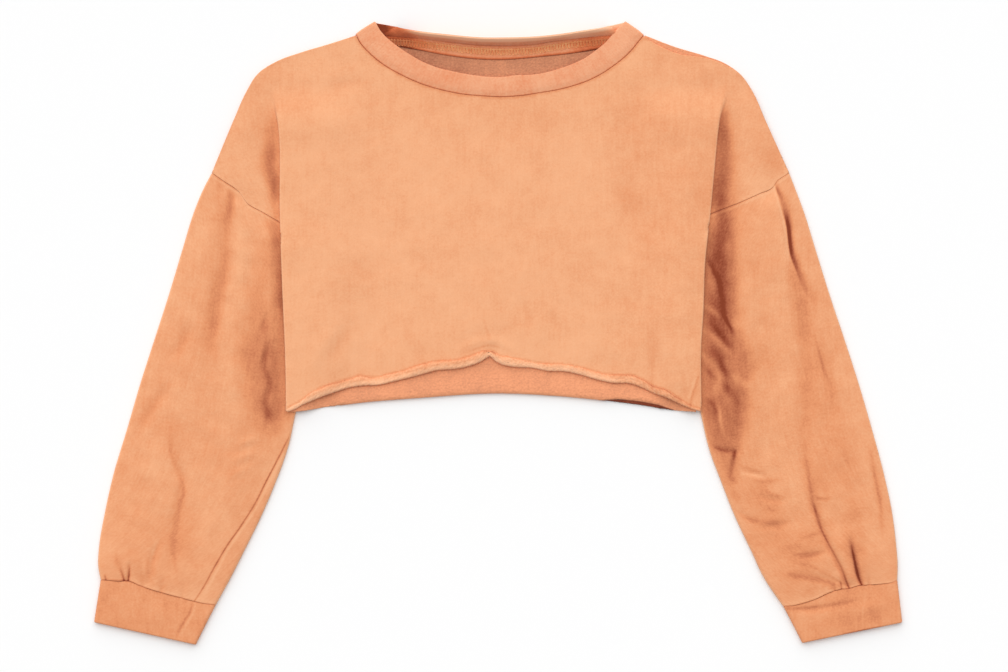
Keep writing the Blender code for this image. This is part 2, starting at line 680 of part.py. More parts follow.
def band_section(lean):
    """Reach and rise across the standing neckband from its seam, as shares of its width."""
    reach = rise = 0.0
    points = [(0.0, 0.0)]
    for k in range(STRIDES):
        share = (k + 0.5) / STRIDES
        angle = lean * ramp(share, -0.03, 0.15) * (1 - 0.3 * ramp(share, 0.65, 1.0))
        reach += math.cos(angle) / STRIDES
        rise += math.sin(angle) / STRIDES
        points.append((reach, rise))
    return points


def creased(share, a):
    """The shift that makes room for the bend where the band turns back at the shoulders."""
    left, right = max(0.0, 1 - share / CREASE_SHARE), max(0.0, 1 - (1 - share) / CREASE_SHARE)
    bend = BAND + SEAM / 2
    dx = (left - right) * CREASE_WAY[0] * bend * (0.4 + 0.6 * a)
    dy = (left + right) * CREASE_WAY[1] * bend * (0.3 + 0.7 * a)
    return dx, dy


def band_front(share, shares_across):
    """One section of the half in front, which lies flat."""
    seam, free = along(NECK_FRONT, share), along(BAND_FREE_FRONT, share)
    z = BAND_FRONT_REST + (BAND * 1.5 + SEAM - BAND_FRONT_REST) * (2 * share - 1) ** 2
    parting = SEAM / BAND_FRONT_WIDTH
    section = []
    for a in shares_across:
        x, y = seam + (free - seam) * (parting + a * (1 - parting))
        dx, dy = creased(share, a)
        section.append((x + dx, y + dy, z + 0.5 * math.sin(math.pi * a)))
    return section


def band_back(share, shares_across):
    """One section of the half behind, which stands and leans back where it has less room."""
    seam, free = along(NECK_BACK, share), along(BAND_FREE_BACK, share)
    room = float(np.hypot(*(free - seam)))
    lean = math.acos(min(1.0, (room - 1.0) / BAND_WIDTH)) if room < BAND_WIDTH else 0.0
    points = band_section(lean)
    reach_all = points[-1][0]
    way = (free - seam) / room
    section = []
    for a in shares_across:
        reach, rise = points[round(a * STRIDES)]
        out = SEAM + reach / reach_all * (room - SEAM - BAND / 2 * math.sin(lean))
        x, y = seam + way * out
        dx, dy = creased(share, a)
        section.append((x + dx, y + dy, BAND / 2 + rise * BAND_WIDTH))
    return section


def band_turn(one, two, outward):
    """Sections round the crease between the two halves at a shoulder."""
    made = []
    for angle in (-45, 0, 45):
        a = math.radians(angle)
        section = []
        for p, q in zip(one, two):
            bend = abs(p[2] - q[2]) / 2
            up = 1 if q[2] > p[2] else -1
            section.append((
                (p[0] + q[0]) / 2 + outward * CREASE_WAY[0] * bend * math.cos(a),
                (p[1] + q[1]) / 2 - CREASE_WAY[1] * bend * math.cos(a),
                (p[2] + q[2]) / 2 + up * bend * math.sin(a),
            ))
        made.append(section)
    return made


def neckband():
    """The band round the neck, folded at its free edge: a closed ring of double cloth."""
    count = 25
    shares_across = (0.0, 0.125, 0.29, 0.5, 0.75, 1.0)
    front = [band_front(k / (count - 1), shares_across) for k in range(count)]
    back = [band_back(1 - k / (count - 1), shares_across) for k in range(count)]
    rings = front + band_turn(front[-1], back[0], 1) + back + band_turn(back[-1], front[0], -1)
    verts = [v for ring in rings for v in ring]
    wide = len(shares_across)
    faces = []
    for r in range(len(rings)):
        here, next_one = r * wide, (r + 1) % len(rings) * wide
        faces += [(here + k, here + k + 1, next_one + k + 1, next_one + k) for k in range(wide - 1)]
    return cloth("neckband", verts, faces, BAND, "trim")


def neck_allowance():
    """The overlocked seam allowance that lies down on the inside of the back, below the band."""
    free = curve(STRIP_EDGE, 14.0)
    seam = across(NECK_BACK)
    verts, faces = [], []
    for x, y in free:
        top = seam(x) + STRIP_START
        for share in (0.0, 0.5, 1.0):
            verts.append((x, top + (y - top) * share, CLOTH + STRIP_LIFT + STRIP / 2))
    for k in range(len(free) - 1):
        for j in range(2):
            faces.append((3 * k + j, 3 * k + j + 1, 3 * k + j + 4, 3 * k + j + 3))
    return cloth("neck_allowance", verts, faces, STRIP, "trim")


for leftover in list(bpy.data.objects):
    bpy.data.objects.remove(leftover)

back_panel()
front_panel()
sleeve("sleeve_left", SLEEVE_L, SLEEVE_FOLDS_L, fold_l, armhole_l, -1)
sleeve("sleeve_right", SLEEVE_R, SLEEVE_FOLDS_R, fold_r, armhole_r, 1)
cuff("cuff_left", CUFF_L)
cuff("cuff_right", CUFF_R)
neckband()
neck_allowance()
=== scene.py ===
import math

import bpy
import numpy as np
from mathutils.geometry import delaunay_2d_cdt
from mathutils.kdtree import KDTree
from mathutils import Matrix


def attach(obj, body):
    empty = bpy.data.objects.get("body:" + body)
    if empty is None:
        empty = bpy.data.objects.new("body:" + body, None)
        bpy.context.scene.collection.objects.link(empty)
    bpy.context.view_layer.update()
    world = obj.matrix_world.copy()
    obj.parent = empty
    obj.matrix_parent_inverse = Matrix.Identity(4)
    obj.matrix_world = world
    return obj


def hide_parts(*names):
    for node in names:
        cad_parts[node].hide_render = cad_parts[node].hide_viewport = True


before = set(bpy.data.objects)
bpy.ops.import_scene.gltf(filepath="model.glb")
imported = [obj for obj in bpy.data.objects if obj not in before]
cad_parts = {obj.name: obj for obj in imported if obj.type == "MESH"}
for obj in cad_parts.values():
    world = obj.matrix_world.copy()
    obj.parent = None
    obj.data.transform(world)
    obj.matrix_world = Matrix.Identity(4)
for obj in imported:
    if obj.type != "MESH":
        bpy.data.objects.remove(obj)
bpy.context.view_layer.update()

# ---- Board, lamp and camera ----
# A matt white laying-out board, lit from its far side by a very large soft lamp, between white walls.
# The camera hangs 4 m above the board, so it sees the cloth almost without perspective.

MM = 0.001
BOARD_X, BOARD_Y = 498.5, 332.5  # the garment's middle, in millimetres from the board's far left corner
CAMERA_HIGH, PICTURE_WIDE, SENSOR = 4.0, 1.008, 36.0


def linear(code):
    """An sRGB hex colour as linear red, green, blue and alpha."""
    parts = [int(code[k : k + 2], 16) / 255 for k in (1, 3, 5)]
    return tuple(p / 12.92 if p <= 0.04045 else ((p + 0.055) / 1.055) ** 2.4 for p in parts) + (1.0,)


def feed(tree, made, sockets):
    """Gives each socket of a node a value or another node's output."""
    for name, value in sockets.items():
        if isinstance(value, bpy.types.NodeSocket):
            tree.links.new(value, made.inputs[name])
        else:
            made.inputs[name].default_value = value


def node(tree, kind, sockets=(), stops=(), **settings):
    """Adds a node with its settings and links, and a colour ramp with its stops as place and shade."""
    made = tree.nodes.new(kind)
    for name, value in settings.items():
        setattr(made, name, value)
    if stops:
        elements = made.color_ramp.elements
        elements[0].color, elements[1].color = linear(stops[0][1]), linear(stops[-1][1])
        for at, shade in stops[1:-1]:
            elements.new(at).color = linear(shade)
    feed(tree, made, dict(sockets))
    return made


def new_material(name):
    """A new material, with its node tree and its shader."""
    made = bpy.data.materials.new(name)
    made.use_nodes = True
    return made, made.node_tree, made.node_tree.nodes["Principled BSDF"]


bpy.ops.object.select_all(action="DESELECT")
bpy.ops.mesh.primitive_plane_add(size=8.0, location=(0.0, 0.0, -0.1 * MM))
board = bpy.context.object
board.name = "board"
# Matt white emulsion paint, rolled on, which leaves an even white without gloss.
matt_white, tree, shader = new_material("matt_white_board")
feed(tree, shader, {"Base Color": linear("#f3f3f3"), "Roughness": 0.9, "Specular IOR Level": 0.1})
board.data.materials.append(matt_white)

walls = bpy.data.worlds.new("white_walls")
walls.use_nodes = True
walls.node_tree.nodes["Background"].inputs["Color"].default_value = (1.0, 1.0, 1.0, 1.0)
walls.node_tree.nodes["Background"].inputs["Strength"].default_value = 0.50
bpy.context.scene.world = walls

bpy.ops.object.light_add(type="SUN", location=(-0.35, 1.6, 1.65))
lamp = bpy.context.object
lamp.name = "far_lamp"
lamp.data.angle = math.radians(90)
lamp.data.energy = 2.7
lamp.rotation_mode = "QUATERNION"
lamp.rotation_quaternion = lamp.location.to_track_quat("Z", "Y")

bpy.ops.object.camera_add(location=(5.5 * MM, -3.5 * MM, CAMERA_HIGH), rotation=(0.0, 0.0, 0.0))
camera = bpy.context.object
camera.data.sensor_width = SENSOR
camera.data.lens = SENSOR * CAMERA_HIGH / PICTURE_WIDE
camera.data.clip_end = 50.0
bpy.context.scene.camera = camera
bpy.context.scene.view_settings.view_transform = "Standard"

# ---- Back ----
# One layer of washed French terry, cut with both drop shoulders, face down on the board. Its loops
# face up, seen inside the neck and below the front. The raw hem has rolled under in the wash.

CLOTH = 1.5  # thickness of one layer, in millimetres as all lengths here
SEAM = 0.04  # parting between two pieces that are sewn together
SEWN = 0.3  # rounding of an edge that is sewn
EDGE = 2.6  # spacing of points along a panel's edges
BACK_REST = CLOTH / 2
BACK_OVER_SLEEVE = 5.5
BACK_INSET = 4.2
ROLL_WIDE, BACK_ROLL_HIGH = 2.4, 1.4
BACK_ROLL_TURN = math.radians(205)
NECK_CREASE = 1.8
WALE, LOOP = 2.4, 2.3  # spacing of the knitted rows and of the loops inside
FADED = (0.0, 0.1, 0.3, 0.42, 0.6, 1.0)

SHOULDER_L = [(355,36), (330,44), (300,53), (278,61), (257,75), (247,91), (234,120), (212,173)]
SHOULDER_R = [(645,35.5), (675,47), (705,56), (724,63), (741,75), (752,91), (765,120), (789,173)]
NECK_BACK = [
    (356,35), (380,36.5), (410,38), (440,41.5), (470,45), (500,46.5), (530,45.5), (560,41), (585,38),
    (612,36), (643.5,36),
]
ARMHOLE_L = [
    (212,173), (225,182), (237,190), (241,194), (243.5,198.5), (247,203), (262,212), (280,222.5),
    (297,233.5), (316,246.5),
]
ARMHOLE_R = [
    (789,173), (782,177.5), (776.5,181.5), (774.5,185), (772,188), (760,193.5), (740,202.5), (712,213.5),
    (695,221.5), (683,228),
]
FOLD_L = [(274,85), (276,102), (279,129), (280,210), (282.5,288), (285.5,360), (286,402), (285,425)]
FOLD_R = [
    (726,85), (723.5,100), (720,113), (718,129), (716,151), (713.5,178), (710,216), (705,261), (703,315),
    (701,345), (701,390), (702,425),
]
BACK_HEM = [
    (284,413), (300,412), (330,407), (360,403), (420,398), (500,393.5), (555,396), (615,402), (645,406),
    (675,411), (703,413),
]
# How far the rolled hem shows below its lip, by x.
CURL = [(598,0), (606,1.6), (615,3.2), (628,4.2), (645,4.4), (660,3.6), (670,1.8), (678,0)]
TUCK_L = [(316,246.5), (319,275), (318,305), (314,340), (306,375), (297,408)]
TUCK_R = [(683,228), (679,262), (680,305), (685,345), (692,380), (699.5,410)]
# A fold is its points (x, y, rise, half width), a trough where the rise is below 0. A point that
# leaves out its last numbers keeps those of the point before it, but an end alone has no rise.
BACK_FOLDS = [
    [(420,120), (430,180,0.7,12), (424,260,0.5), (430,320)],
    [(560,110,0,10), (552,170,0.6,11), (566,230,0.7,10), (560,290,0,12)],
    [(340,290,0,10), (372,320,0.6,9), (398,352)],
    [(610,280), (630,310,0.6,9), (640,350)],
]


def cols(*parts):
    return np.stack(parts, axis=1)


def curve(points, step):
    """Points about a step apart on a smooth curve through the given ones, whatever their columns."""
    p = np.array(points, float)
    run = np.linalg.norm(np.diff(p[:, :2], axis=0), axis=1)
    t = np.concatenate([[0.0], np.cumsum(run)])
    slope = np.diff(p, axis=0) / run[:, None]
    tangent = np.vstack([slope[:1], slope])
    if len(p) > 2:
        before, after = run[:-1, None], run[1:, None]
        tangent[1:-1] = (slope[:-1] * after + slope[1:] * before) / (before + after)
    s = np.linspace(0.0, t[-1], max(2, round(t[-1] / step) + 1))
    k = np.clip(np.searchsorted(t, s, side="right") - 1, 0, len(run) - 1)
    h = run[k][:, None]
    u = (s - t[k])[:, None] / h
    start = (1 + 2 * u) * (1 - u) ** 2 * p[k] + u * (1 - u) ** 2 * h * tangent[k]
    return start + u * u * (3 - 2 * u) * p[k + 1] + u * u * (u - 1) * h * tangent[k + 1]


def edge(points, across=0):
    """The y of an edge at any x, or with 1 its x at any y."""
    line = curve(points, 2.0)
    line = line[np.argsort(line[:, across])]
    return lambda at: np.interp(at, line[:, across], line[:, 1 - across])


def ramp(value, start, end):
    """0 at start, 1 at end, with soft ends."""
    u = np.clip((value - start) / (end - start), 0.0, 1.0)
    return u * u * (3 - 2 * u)


def bell(distance, width):
    """1 where the distance is 0, dying away over a width."""
    return np.exp(-((distance / width) ** 2))


def nearest(line, x, y):
    """Distance from each place to a line, how far along the line, and the side it is on."""
    best, at, side = np.full(x.shape, 1e9), np.zeros(x.shape), np.ones(x.shape)
    for k in range(len(line) - 1):
        run_x, run_y = line[k + 1, :2] - line[k, :2]
        dx, dy = x - line[k, 0], y - line[k, 1]
        u = np.clip((dx * run_x + dy * run_y) / (run_x**2 + run_y**2 + 1e-12), 0, 1)
        away = np.hypot(dx - u * run_x, dy - u * run_y)
        closer = away < best
        best[closer], at[closer] = away[closer], (k + u)[closer]
        side[closer] = np.sign(run_x * dy - run_y * dx)[closer]
    return best, at, side


def relief(folds, x, y):
    """The height that a table of folds adds.

    A fold that comes with a lean is that much wider on its left and steeper on its right, going
    down the board.
    """
    total = np.zeros(x.shape)
    for fold in folds:
        (*points,), lean = fold if isinstance(fold, tuple) else (fold, 0.0)
        if len(points[0]) == 2:
            points[0] += (0, points[1][3])
        if len(points[-1]) == 2:
            points[-1] += (0,)
        for k in range(1, len(points)):
            points[k] += points[k - 1][len(points[k]) :]
        line = curve(points, 4.0)
        reach = 3 * line[:, 3].max() + 9
        middle, spread = line.mean(axis=0), np.ptp(line, axis=0) / 2
        near = (abs(x - middle[0]) < spread[0] + reach) & (abs(y - middle[1]) < spread[1] + reach)
        if near.any():
            away, at, side = nearest(line, x[near], y[near])
            rise, half = (np.interp(at, np.arange(len(line)), line[:, k]) for k in (2, 3))
            total[near] += rise * bell(away, np.maximum(half * (1 + lean * side), 0.8))
    return total


def unevenness(x, y, seed, longest, shortest, count=28):
    """A soft random waviness about 1 high, as cloth has that was never pressed."""
    chance = np.random.default_rng(seed)
    total = np.zeros(x.shape)
    for _ in range(count):
        length = shortest * (longest / shortest) ** chance.random()
        way, phase = chance.random() * math.tau, chance.random() * math.tau
        total += np.sin((x * math.cos(way) + y * math.sin(way)) * math.tau / length + phase)
    return total / math.sqrt(count)


def run_length(*steps):
    """Length gone along a line after each of its steps."""
    return np.concatenate([[0.0], np.cumsum(np.hypot(*steps))])


def roll_path(turn, wide, high):
    """Length of cloth round a rolled hem, with its reach and its rise."""
    a = np.linspace(0.0, turn, 80)
    reach, rise = wide * np.sin(a), high * (1 - np.cos(a))
    return run_length(np.diff(reach), np.diff(rise)), reach, rise


def inside(polygon, x, y):
    """Whether each point lies inside the polygon."""
    within = np.zeros(x.shape, bool)
    for (px, py), (qx, qy) in zip(polygon, np.roll(polygon, -1, axis=0)):
        if py != qy:
            within ^= ((py > y) != (qy > y)) & (x < px + (y - py) / (qy - py) * (qx - px))
    return within


def joined(*lines):
    """One closed outline from lines that follow on from each other."""
    points = [tuple(lines[0][0][:2])]
    for point in np.vstack([line[:, :2] for line in lines]):
        if math.dist(point, points[-1]) > 0.2:
            points.append(tuple(point))
    if math.dist(points[0], points[-1]) < 0.2:
        points.pop()
    return np.array(points, float)


def filled(outline, ties, spacing, fine):
    """A flat pattern as points and triangles: even inside, closer where fine says, and along ties."""
    ahead, behind = np.roll(outline, -1, axis=0), np.roll(outline, 1, axis=0)
    turn = ahead - behind
    inward = cols(-turn[:, 1], turn[:, 0]) / np.linalg.norm(turn, axis=1)[:, None]
    inward *= np.sign((outline[:, 0] * ahead[:, 1] - outline[:, 1] * ahead[:, 0]).sum())
    rims = [outline + inward * far for far in (0.25, 0.8)]
    fixed = np.vstack([outline] + ties + [rim[inside(outline, *rim.T)] for rim in rims])
    tree = KDTree(len(fixed))
    for k, p in enumerate(fixed):
        tree.insert((p[0], p[1], 0.0), k)
    tree.balance()
    low, high = outline.min(axis=0), outline.max(axis=0)
    points = []
    for pitch, wanted in ((spacing, False), (spacing * 0.6, True)):
        rows, columns = np.arange(low[1], high[1], pitch * 0.866), np.arange(low[0], high[0], pitch)
        x = (columns[None, :] + (np.arange(len(rows)) % 2 * pitch / 2)[:, None]).ravel()
        y = np.repeat(rows, len(columns))
        keep = inside(outline, x, y) & (fine(x, y) == wanted)
        points += [p for p in zip(x[keep], y[keep]) if tree.find((*p, 0.0))[2] > 0.5 * pitch]
    edges = [(k, (k + 1) % len(outline)) for k in range(len(outline))]
    first = len(outline)
    for tie in ties:
        edges += [(first + k, first + k + 1) for k in range(len(tie) - 1)]
        first += len(tie)
    flat = [tuple(map(float, p)) for p in np.vstack([fixed, np.array(points)])]
    verts, _, faces, *_ = delaunay_2d_cdt(flat, edges, [], 1, 1e-5)
    return np.array([tuple(v) for v in verts]), np.array([tuple(f) for f in faces])


def grid(rows, wide, round_rows=False, round_wide=False):
    """The faces between rows of points, closed to a ring either way."""
    r, c = np.meshgrid(np.arange(rows - 1 + round_rows), np.arange(wide - 1 + round_wide), indexing="ij")
    here, below, beside = r * wide, (r + 1) % rows * wide, (c + 1) % wide
    return np.stack([here + c, here + beside, below + beside, below + c], axis=-1).reshape(-1, 4)


def on_board(points):
    """Points of the board, in metres about the garment's middle."""
    return (points - (BOARD_X, BOARD_Y, 0.0)) * (MM, -MM, MM)


def smooth_object(name, verts, faces, *materials):
    """A smooth object with these materials, where its points are."""
    mesh = bpy.data.meshes.new(name)
    mesh.from_pydata(verts.tolist(), [], faces)
    for material in materials:
        mesh.materials.append(material)
    mesh.shade_smooth()
    obj = bpy.data.objects.new(name, mesh)
    bpy.context.scene.collection.objects.link(obj)
    return obj


def cloth(name, middle, faces, half, above, below, pattern, shade_and_tone, tube=False):
    """A closed piece of cloth round its middle surface.

    half is half its thickness at each point, and closes to nothing at its edges. above and below
    are the materials of its two sides, pattern is each point's place on the flat cut, and the argument
    after pattern is how faded or deep the colour is at each point, with painted shade and painted
    highlight in it, on both sides or as one value for each.
    """
    world = on_board(middle)
    a, b, c, d = (world[faces[:, k]] for k in (0, 1, 2, -1))
    across = np.cross(c - a, d - b) if faces.shape[1] == 4 else np.cross(b - a, c - a)
    outwards = ((a - world.mean(axis=0)) * across).sum() if tube else across[:, 2].sum()
    if outwards < 0:
        faces, across = faces[:, ::-1], -across
    normal = np.zeros_like(world)
    for k in range(faces.shape[1]):
        np.add.at(normal, faces[:, k], across)
    normal /= np.linalg.norm(normal, axis=1)[:, None] + 1e-20
    pairs = np.stack([faces, np.roll(faces, -1, axis=1)], axis=2).reshape(-1, 2)
    pairs, times = np.unique(np.sort(pairs, axis=1), axis=0, return_counts=True)
    rim = np.unique(pairs[times == 1])
    half = np.array(half, float) * MM
    half[rim] = 0.0
    count = len(world)
    other = np.arange(count) + count
    other[rim] = rim
    verts = np.vstack([world + normal * half[:, None], world - normal * half[:, None]])
    used = np.ones(2 * count, bool)
    used[rim + count] = False
    both = (np.cumsum(used) - 1)[np.vstack([faces, other[faces[:, ::-1]]])]
    obj = smooth_object(name, verts[used], both.tolist(), above, below)
    mesh = obj.data
    mesh.polygons.foreach_set("material_index", np.repeat([0, 1], len(faces)))
    loops = np.empty(len(mesh.loops), np.int32)
    mesh.loops.foreach_get("vertex_index", loops)
    cut = (np.vstack([pattern, pattern])[used] * MM)[loops]
    mesh.uv_layers.new(name="pattern").data.foreach_set("uv", cut.ravel().astype(np.float32))
    # Each point's colour depth, with painted shade and painted highlight in it.
    dye_and_shade = np.concatenate(shade_and_tone if isinstance(shade_and_tone, tuple) else (shade_and_tone, shade_and_tone))[used]
    mesh.attributes.new("dye_and_shade", "FLOAT", "POINT").data.foreach_set("value", dye_and_shade.astype(np.float32))
    return obj


def rounded(distance, thick, radius=None):
    """Half the thickness at a distance from an edge rounded over its whole thickness or a radius."""
    u = np.clip(distance / (thick / 2 if radius is None else radius), 0.0, 1.0)
    return thick / 2 * np.sqrt(1 - (1 - u) ** 2)


def painted_fold_shade(folds, shades, x, y):
    """Painted shade in the troughs of tables of folds and painted highlight on their ridges,
    and the painted shade and highlight of tables of shades.
    """
    rise = relief(folds, x, y)
    return np.where(rise < 0, 0.08, 0.015) * rise + relief(shades, x, y) / 100


def uneven(tree, value, *layers):
    """A value made softly uneven by layers: where each lies, its size in mm, its detail, its share."""
    for vector, size, detail, share in layers:
        soft = {"Vector": vector, "Scale": 1 / (size * MM), "Detail": detail}
        soft = node(tree, "ShaderNodeTexNoise", soft).outputs["Fac"]
        mixed = {0: soft, 1: share, 2: value}
        value = node(tree, "ShaderNodeMath", mixed, operation="MULTIPLY_ADD").outputs[0]
    return value


def washed_terry(name, shades, looped, flecks):
    """French terry, garment-dyed and washed: smooth knitted face, small loops on the inside.

    shades run from the deepest colour to the most faded, each at its share of the way between. The
    attribute that picks among them carries painted shade and painted highlight besides the cloth's own
    colour changes. flecks is how far single stitches differ. Real wales are about 1 mm apart, and are
    drawn as fine as shows.
    """
    made, tree, shader = new_material(name)
    cut = node(tree, "ShaderNodeUVMap", uv_map="pattern").outputs["UV"]
    place = node(tree, "ShaderNodeTexCoord").outputs["Object"]
    long_way = node(tree, "ShaderNodeMapping", {"Vector": cut, "Scale": (1.0, 0.12, 1.0)}).outputs[0]
    # The dye attribute carries painted shade and painted highlight as well as the dye's own depth.
    dye_and_shade = node(tree, "ShaderNodeAttribute", attribute_name="dye_and_shade").outputs["Fac"]
    fade_and_shade = node(tree, "ShaderNodeMath", {0: dye_and_shade, 1: 0.36 - flecks / 2}, operation="ADD").outputs[0]
    fade_and_shade = uneven(
        tree, fade_and_shade,
        (place, 55, 3.0, 0.22), (place, 11, 2.0, 0.16), (cut, 2.1, 2.0, flecks), (long_way, 3.4, 1.0, 0.10),
    )
    stops = list(zip(FADED, shades))
    if looped:
        knit = {"Vector": cut, "Scale": 1 / (LOOP * MM), "Randomness": 0.8}
        knit, height = node(tree, "ShaderNodeTexVoronoi", knit).outputs["Distance"], -0.5
    else:
        knit = {"Vector": cut, "Scale": math.pi / 10 / (WALE * MM), "Distortion": 1.5}
        knit.update({"Detail": 1.0, "Detail Scale": 0.6})
        knit, height = node(tree, "ShaderNodeTexWave", knit, bands_direction="X").outputs["Fac"], 0.04
    grain = node(tree, "ShaderNodeMath", {0: knit, 1: height}, operation="MULTIPLY").outputs[0]
    grain = uneven(tree, grain, (cut, 1.6, 2.0, 0.16), (place, 13, 3.0, 0.5))
    feed(tree, shader, {
        "Base Color": node(tree, "ShaderNodeValToRGB", {"Fac": fade_and_shade}, stops).outputs["Color"],
        "Normal": node(tree, "ShaderNodeBump", {"Height": grain, "Distance": MM}).outputs["Normal"],
        "Roughness": 0.95, "Specular IOR Level": 0.2, "Sheen Weight": 0.12, "Sheen Roughness": 0.5,
    })
    return made


# The face of washed French terry: jersey knitted in cotton, dyed as a finished garment and tumbled,
# which leaves it matt and softly mottled. Its deepest shades also serve as painted shade in creases,
# and its palest as painted highlight on ridges.
terry_face = washed_terry(
    "washed_terry_face", ("#83391f", "#9c5136", "#c97c55", "#de9164", "#eaa87c", "#f6be94"), False, 0.22
)
# The same cloth at the rolled hem, where the looped side came out and took the most rubbing, so it
# is the palest and speckled.
terry_roll = washed_terry(
    "washed_terry_roll", ("#83391f", "#9c5136", "#c97d57", "#dd9166", "#ebaa80", "#f6c09a"), True, 0.42
)
# The inside of the same cloth: small loops of soft yarn, laid in behind the jersey, that hold more
# dye and lie in each other's shade, so it reads browner, with a fine pebbled grain.
terry_loops = washed_terry(
    "washed_terry_loops", ("#7f3c26", "#9a5940", "#bb7a5b", "#cd8865", "#e6996f", "#f2b086"), True, 0.36
)

back_hem, armhole_l, armhole_r, curl = edge(BACK_HEM), edge(ARMHOLE_L), edge(ARMHOLE_R), edge(CURL)
fold_l, fold_r, tuck_l, tuck_r = (edge(points, 1) for points in (FOLD_L, FOLD_R, TUCK_L, TUCK_R))
back_rolled, back_reach, back_fall = roll_path(BACK_ROLL_TURN, ROLL_WIDE, BACK_ROLL_HIGH)


def back_roll_share(x):
    """The hem is rolled under between the sleeves, and lies flat on them."""
    return ramp(x, 325, 352) * ramp(x, 676, 650)


def back_roll_start(x):
    return back_hem(x) - (ROLL_WIDE * back_roll_share(x) + CLOTH / 2)


def back_height(x, y):
    left = (1 - ramp(x - tuck_l(y), 1, 28)) * ramp(y, armhole_l(x), armhole_l(x) + 14)
    right = (1 - ramp(tuck_r(y) - x, 1, 28)) * ramp(y, armhole_r(x), armhole_r(x) + 14)
    over = np.where(y > 210, np.maximum(left, right), 0.0)
    hem = 2 * BACK_ROLL_HIGH * back_roll_share(x) * ramp(y, back_hem(x) - 26, back_hem(x) - ROLL_WIDE)
    return BACK_REST + over * (BACK_OVER_SLEEVE - BACK_REST) + hem + relief(BACK_FOLDS, x, y)


def back_place(x, y):
    """Where a point of the back's flat pattern lies."""
    share = np.maximum(back_roll_share(x), 0.01)
    start = back_hem(x) - (ROLL_WIDE * share + CLOTH / 2)
    past = np.maximum(y - start, 0.0) / share
    z = back_height(x, np.minimum(y, start)) - np.interp(past, back_rolled, back_fall) * share
    y = np.minimum(y, start) + np.interp(past, back_rolled, back_reach) * share
    lip = back_hem(x) - curl(x)
    below_lip = BACK_REST + 2 * BACK_ROLL_HIGH - 2.0 * ramp(y, lip - 0.6, lip + 0.6)
    return cols(x, y, np.minimum(z, np.where(curl(x) > 0.3, below_lip, np.inf)))


def back_hem_line(share):
    return cols(hem_x, back_roll_start(hem_x) + share * back_rolled[-1] * back_roll_share(hem_x))


neck = curve(NECK_BACK, EDGE)
neck[:, 1] += SEAM + NECK_CREASE * (1 - ramp(np.minimum(neck[:, 0] - 355, 645 - neck[:, 0]), 6, 34))
notch_l = curve([(320.5, 252), (320, 256), (316, 263), (301, 265), (286, 269)], EDGE)
notch_r = curve([(678.5, 234), (679, 238), (683, 245), (694, 247), (706, 251)], EDGE)
rows_l, rows_r = np.arange(272, 407, EDGE), np.arange(254, 407, EDGE)
hem_x = np.arange(float(fold_l(405)) + BACK_INSET, float(fold_r(405)) - BACK_INSET, EDGE)
seam_l, seam_r = curve(ARMHOLE_L, EDGE), curve(ARMHOLE_R, EDGE)
outline = joined(
    seam_l[seam_l[:, 0] < 314], notch_l, cols(fold_l(rows_l) + BACK_INSET, rows_l), back_hem_line(1.0),
    cols(fold_r(rows_r) - BACK_INSET, rows_r)[::-1], notch_r[::-1], seam_r[seam_r[:, 0] > 685][::-1],
    curve(SHOULDER_R, EDGE)[::-1], neck[::-1], curve(SHOULDER_L, EDGE),
)
rolled_x = (hem_x > 345) & (hem_x < 658)
ties = [back_hem_line(share)[rolled_x] for share in np.linspace(0.0, 0.92, 9)]
outwards = back_reach[:-1] < back_reach[1:]
reach_out, rolled_out = back_reach[:-1][outwards], back_rolled[:-1][outwards]
lip_x = np.arange(599.5, 677, 1.5)
under, start = back_roll_share(lip_x), back_roll_start(lip_x)
for beyond in (-0.5, 0.5):
    past = back_hem(lip_x) - curl(lip_x) + beyond - start
    rolled = np.interp(past / np.maximum(under, 0.01), reach_out, rolled_out)
    ties.append(cols(lip_x, start + np.where(past > 0, rolled * under, past)))
flat, faces = filled(outline, ties, 3.4, lambda x, y: (y > back_hem(x) - 45) & (x > 300))
middle = back_place(*flat.T)
away, _, _ = nearest(np.vstack([outline, outline[:1]]), *flat.T)
x, y, _ = middle.T
half = np.where(y > 300, rounded(away, CLOTH), rounded(away, CLOTH, SEWN))
# Painted shade inside the neck, most of all in the neckline's shade, and under the hem's lifted lip,
# and a painted highlight along the hem's rim.
painted_neck_shade = 0.04 - 0.08 * ramp(x, 495, 455) - 0.05 * ramp(x, 450, 425) - 0.06 * ramp(x, 555, 585)
below_lip = ramp(y, back_hem(x) - curl(x) - 0.45, back_hem(x) - curl(x) + 0.45)
shade_and_tone = painted_fold_shade(BACK_FOLDS, [], x, y) - 0.22 * ramp(y, 110, 90) * (x > 370) * (x < 630)
shade_and_tone += painted_neck_shade * (y < 110) * (y > 45) - 0.03 * (y > 300)
shade_and_tone += 0.18 * ramp(y, back_hem(x) - 2.4, back_hem(x) - 0.6) * (curl(x) < 0.2)
shade_and_tone -= 0.6 * ramp(curl(x), 0.2, 1.2) * below_lip
back = cloth("back_cloth", middle, faces, half, terry_loops, terry_face, flat, shade_and_tone)
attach(back, "root")
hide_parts("back_panel")

# ---- Front ----
# The same cut as the back, face up. Each side is pleated from the shoulder to the armhole and turns
# under below it, and the raw hem has rolled up over its face, so that the loops show on the roll.

FRONT_REST, FRONT_OVER_SLEEVE = 2.9, 8.0
PLEAT_RADIUS, PLEAT_DEPTH, PLEAT_TOP, PLEAT_FULL = 1.0, 14.0, (84.0, 150.0), 222.0
PLEAT_ARC = math.pi * PLEAT_RADIUS
SIDE_TURN = 0.65  # share of a half turn that the front makes below the armhole
ROLL_HIGH, HEM_DROP = 0.25, 0.5  # the roll's height is a share of its width
HEM_POINTS = 170
FRONT_ROLL_TURN = math.radians(290)

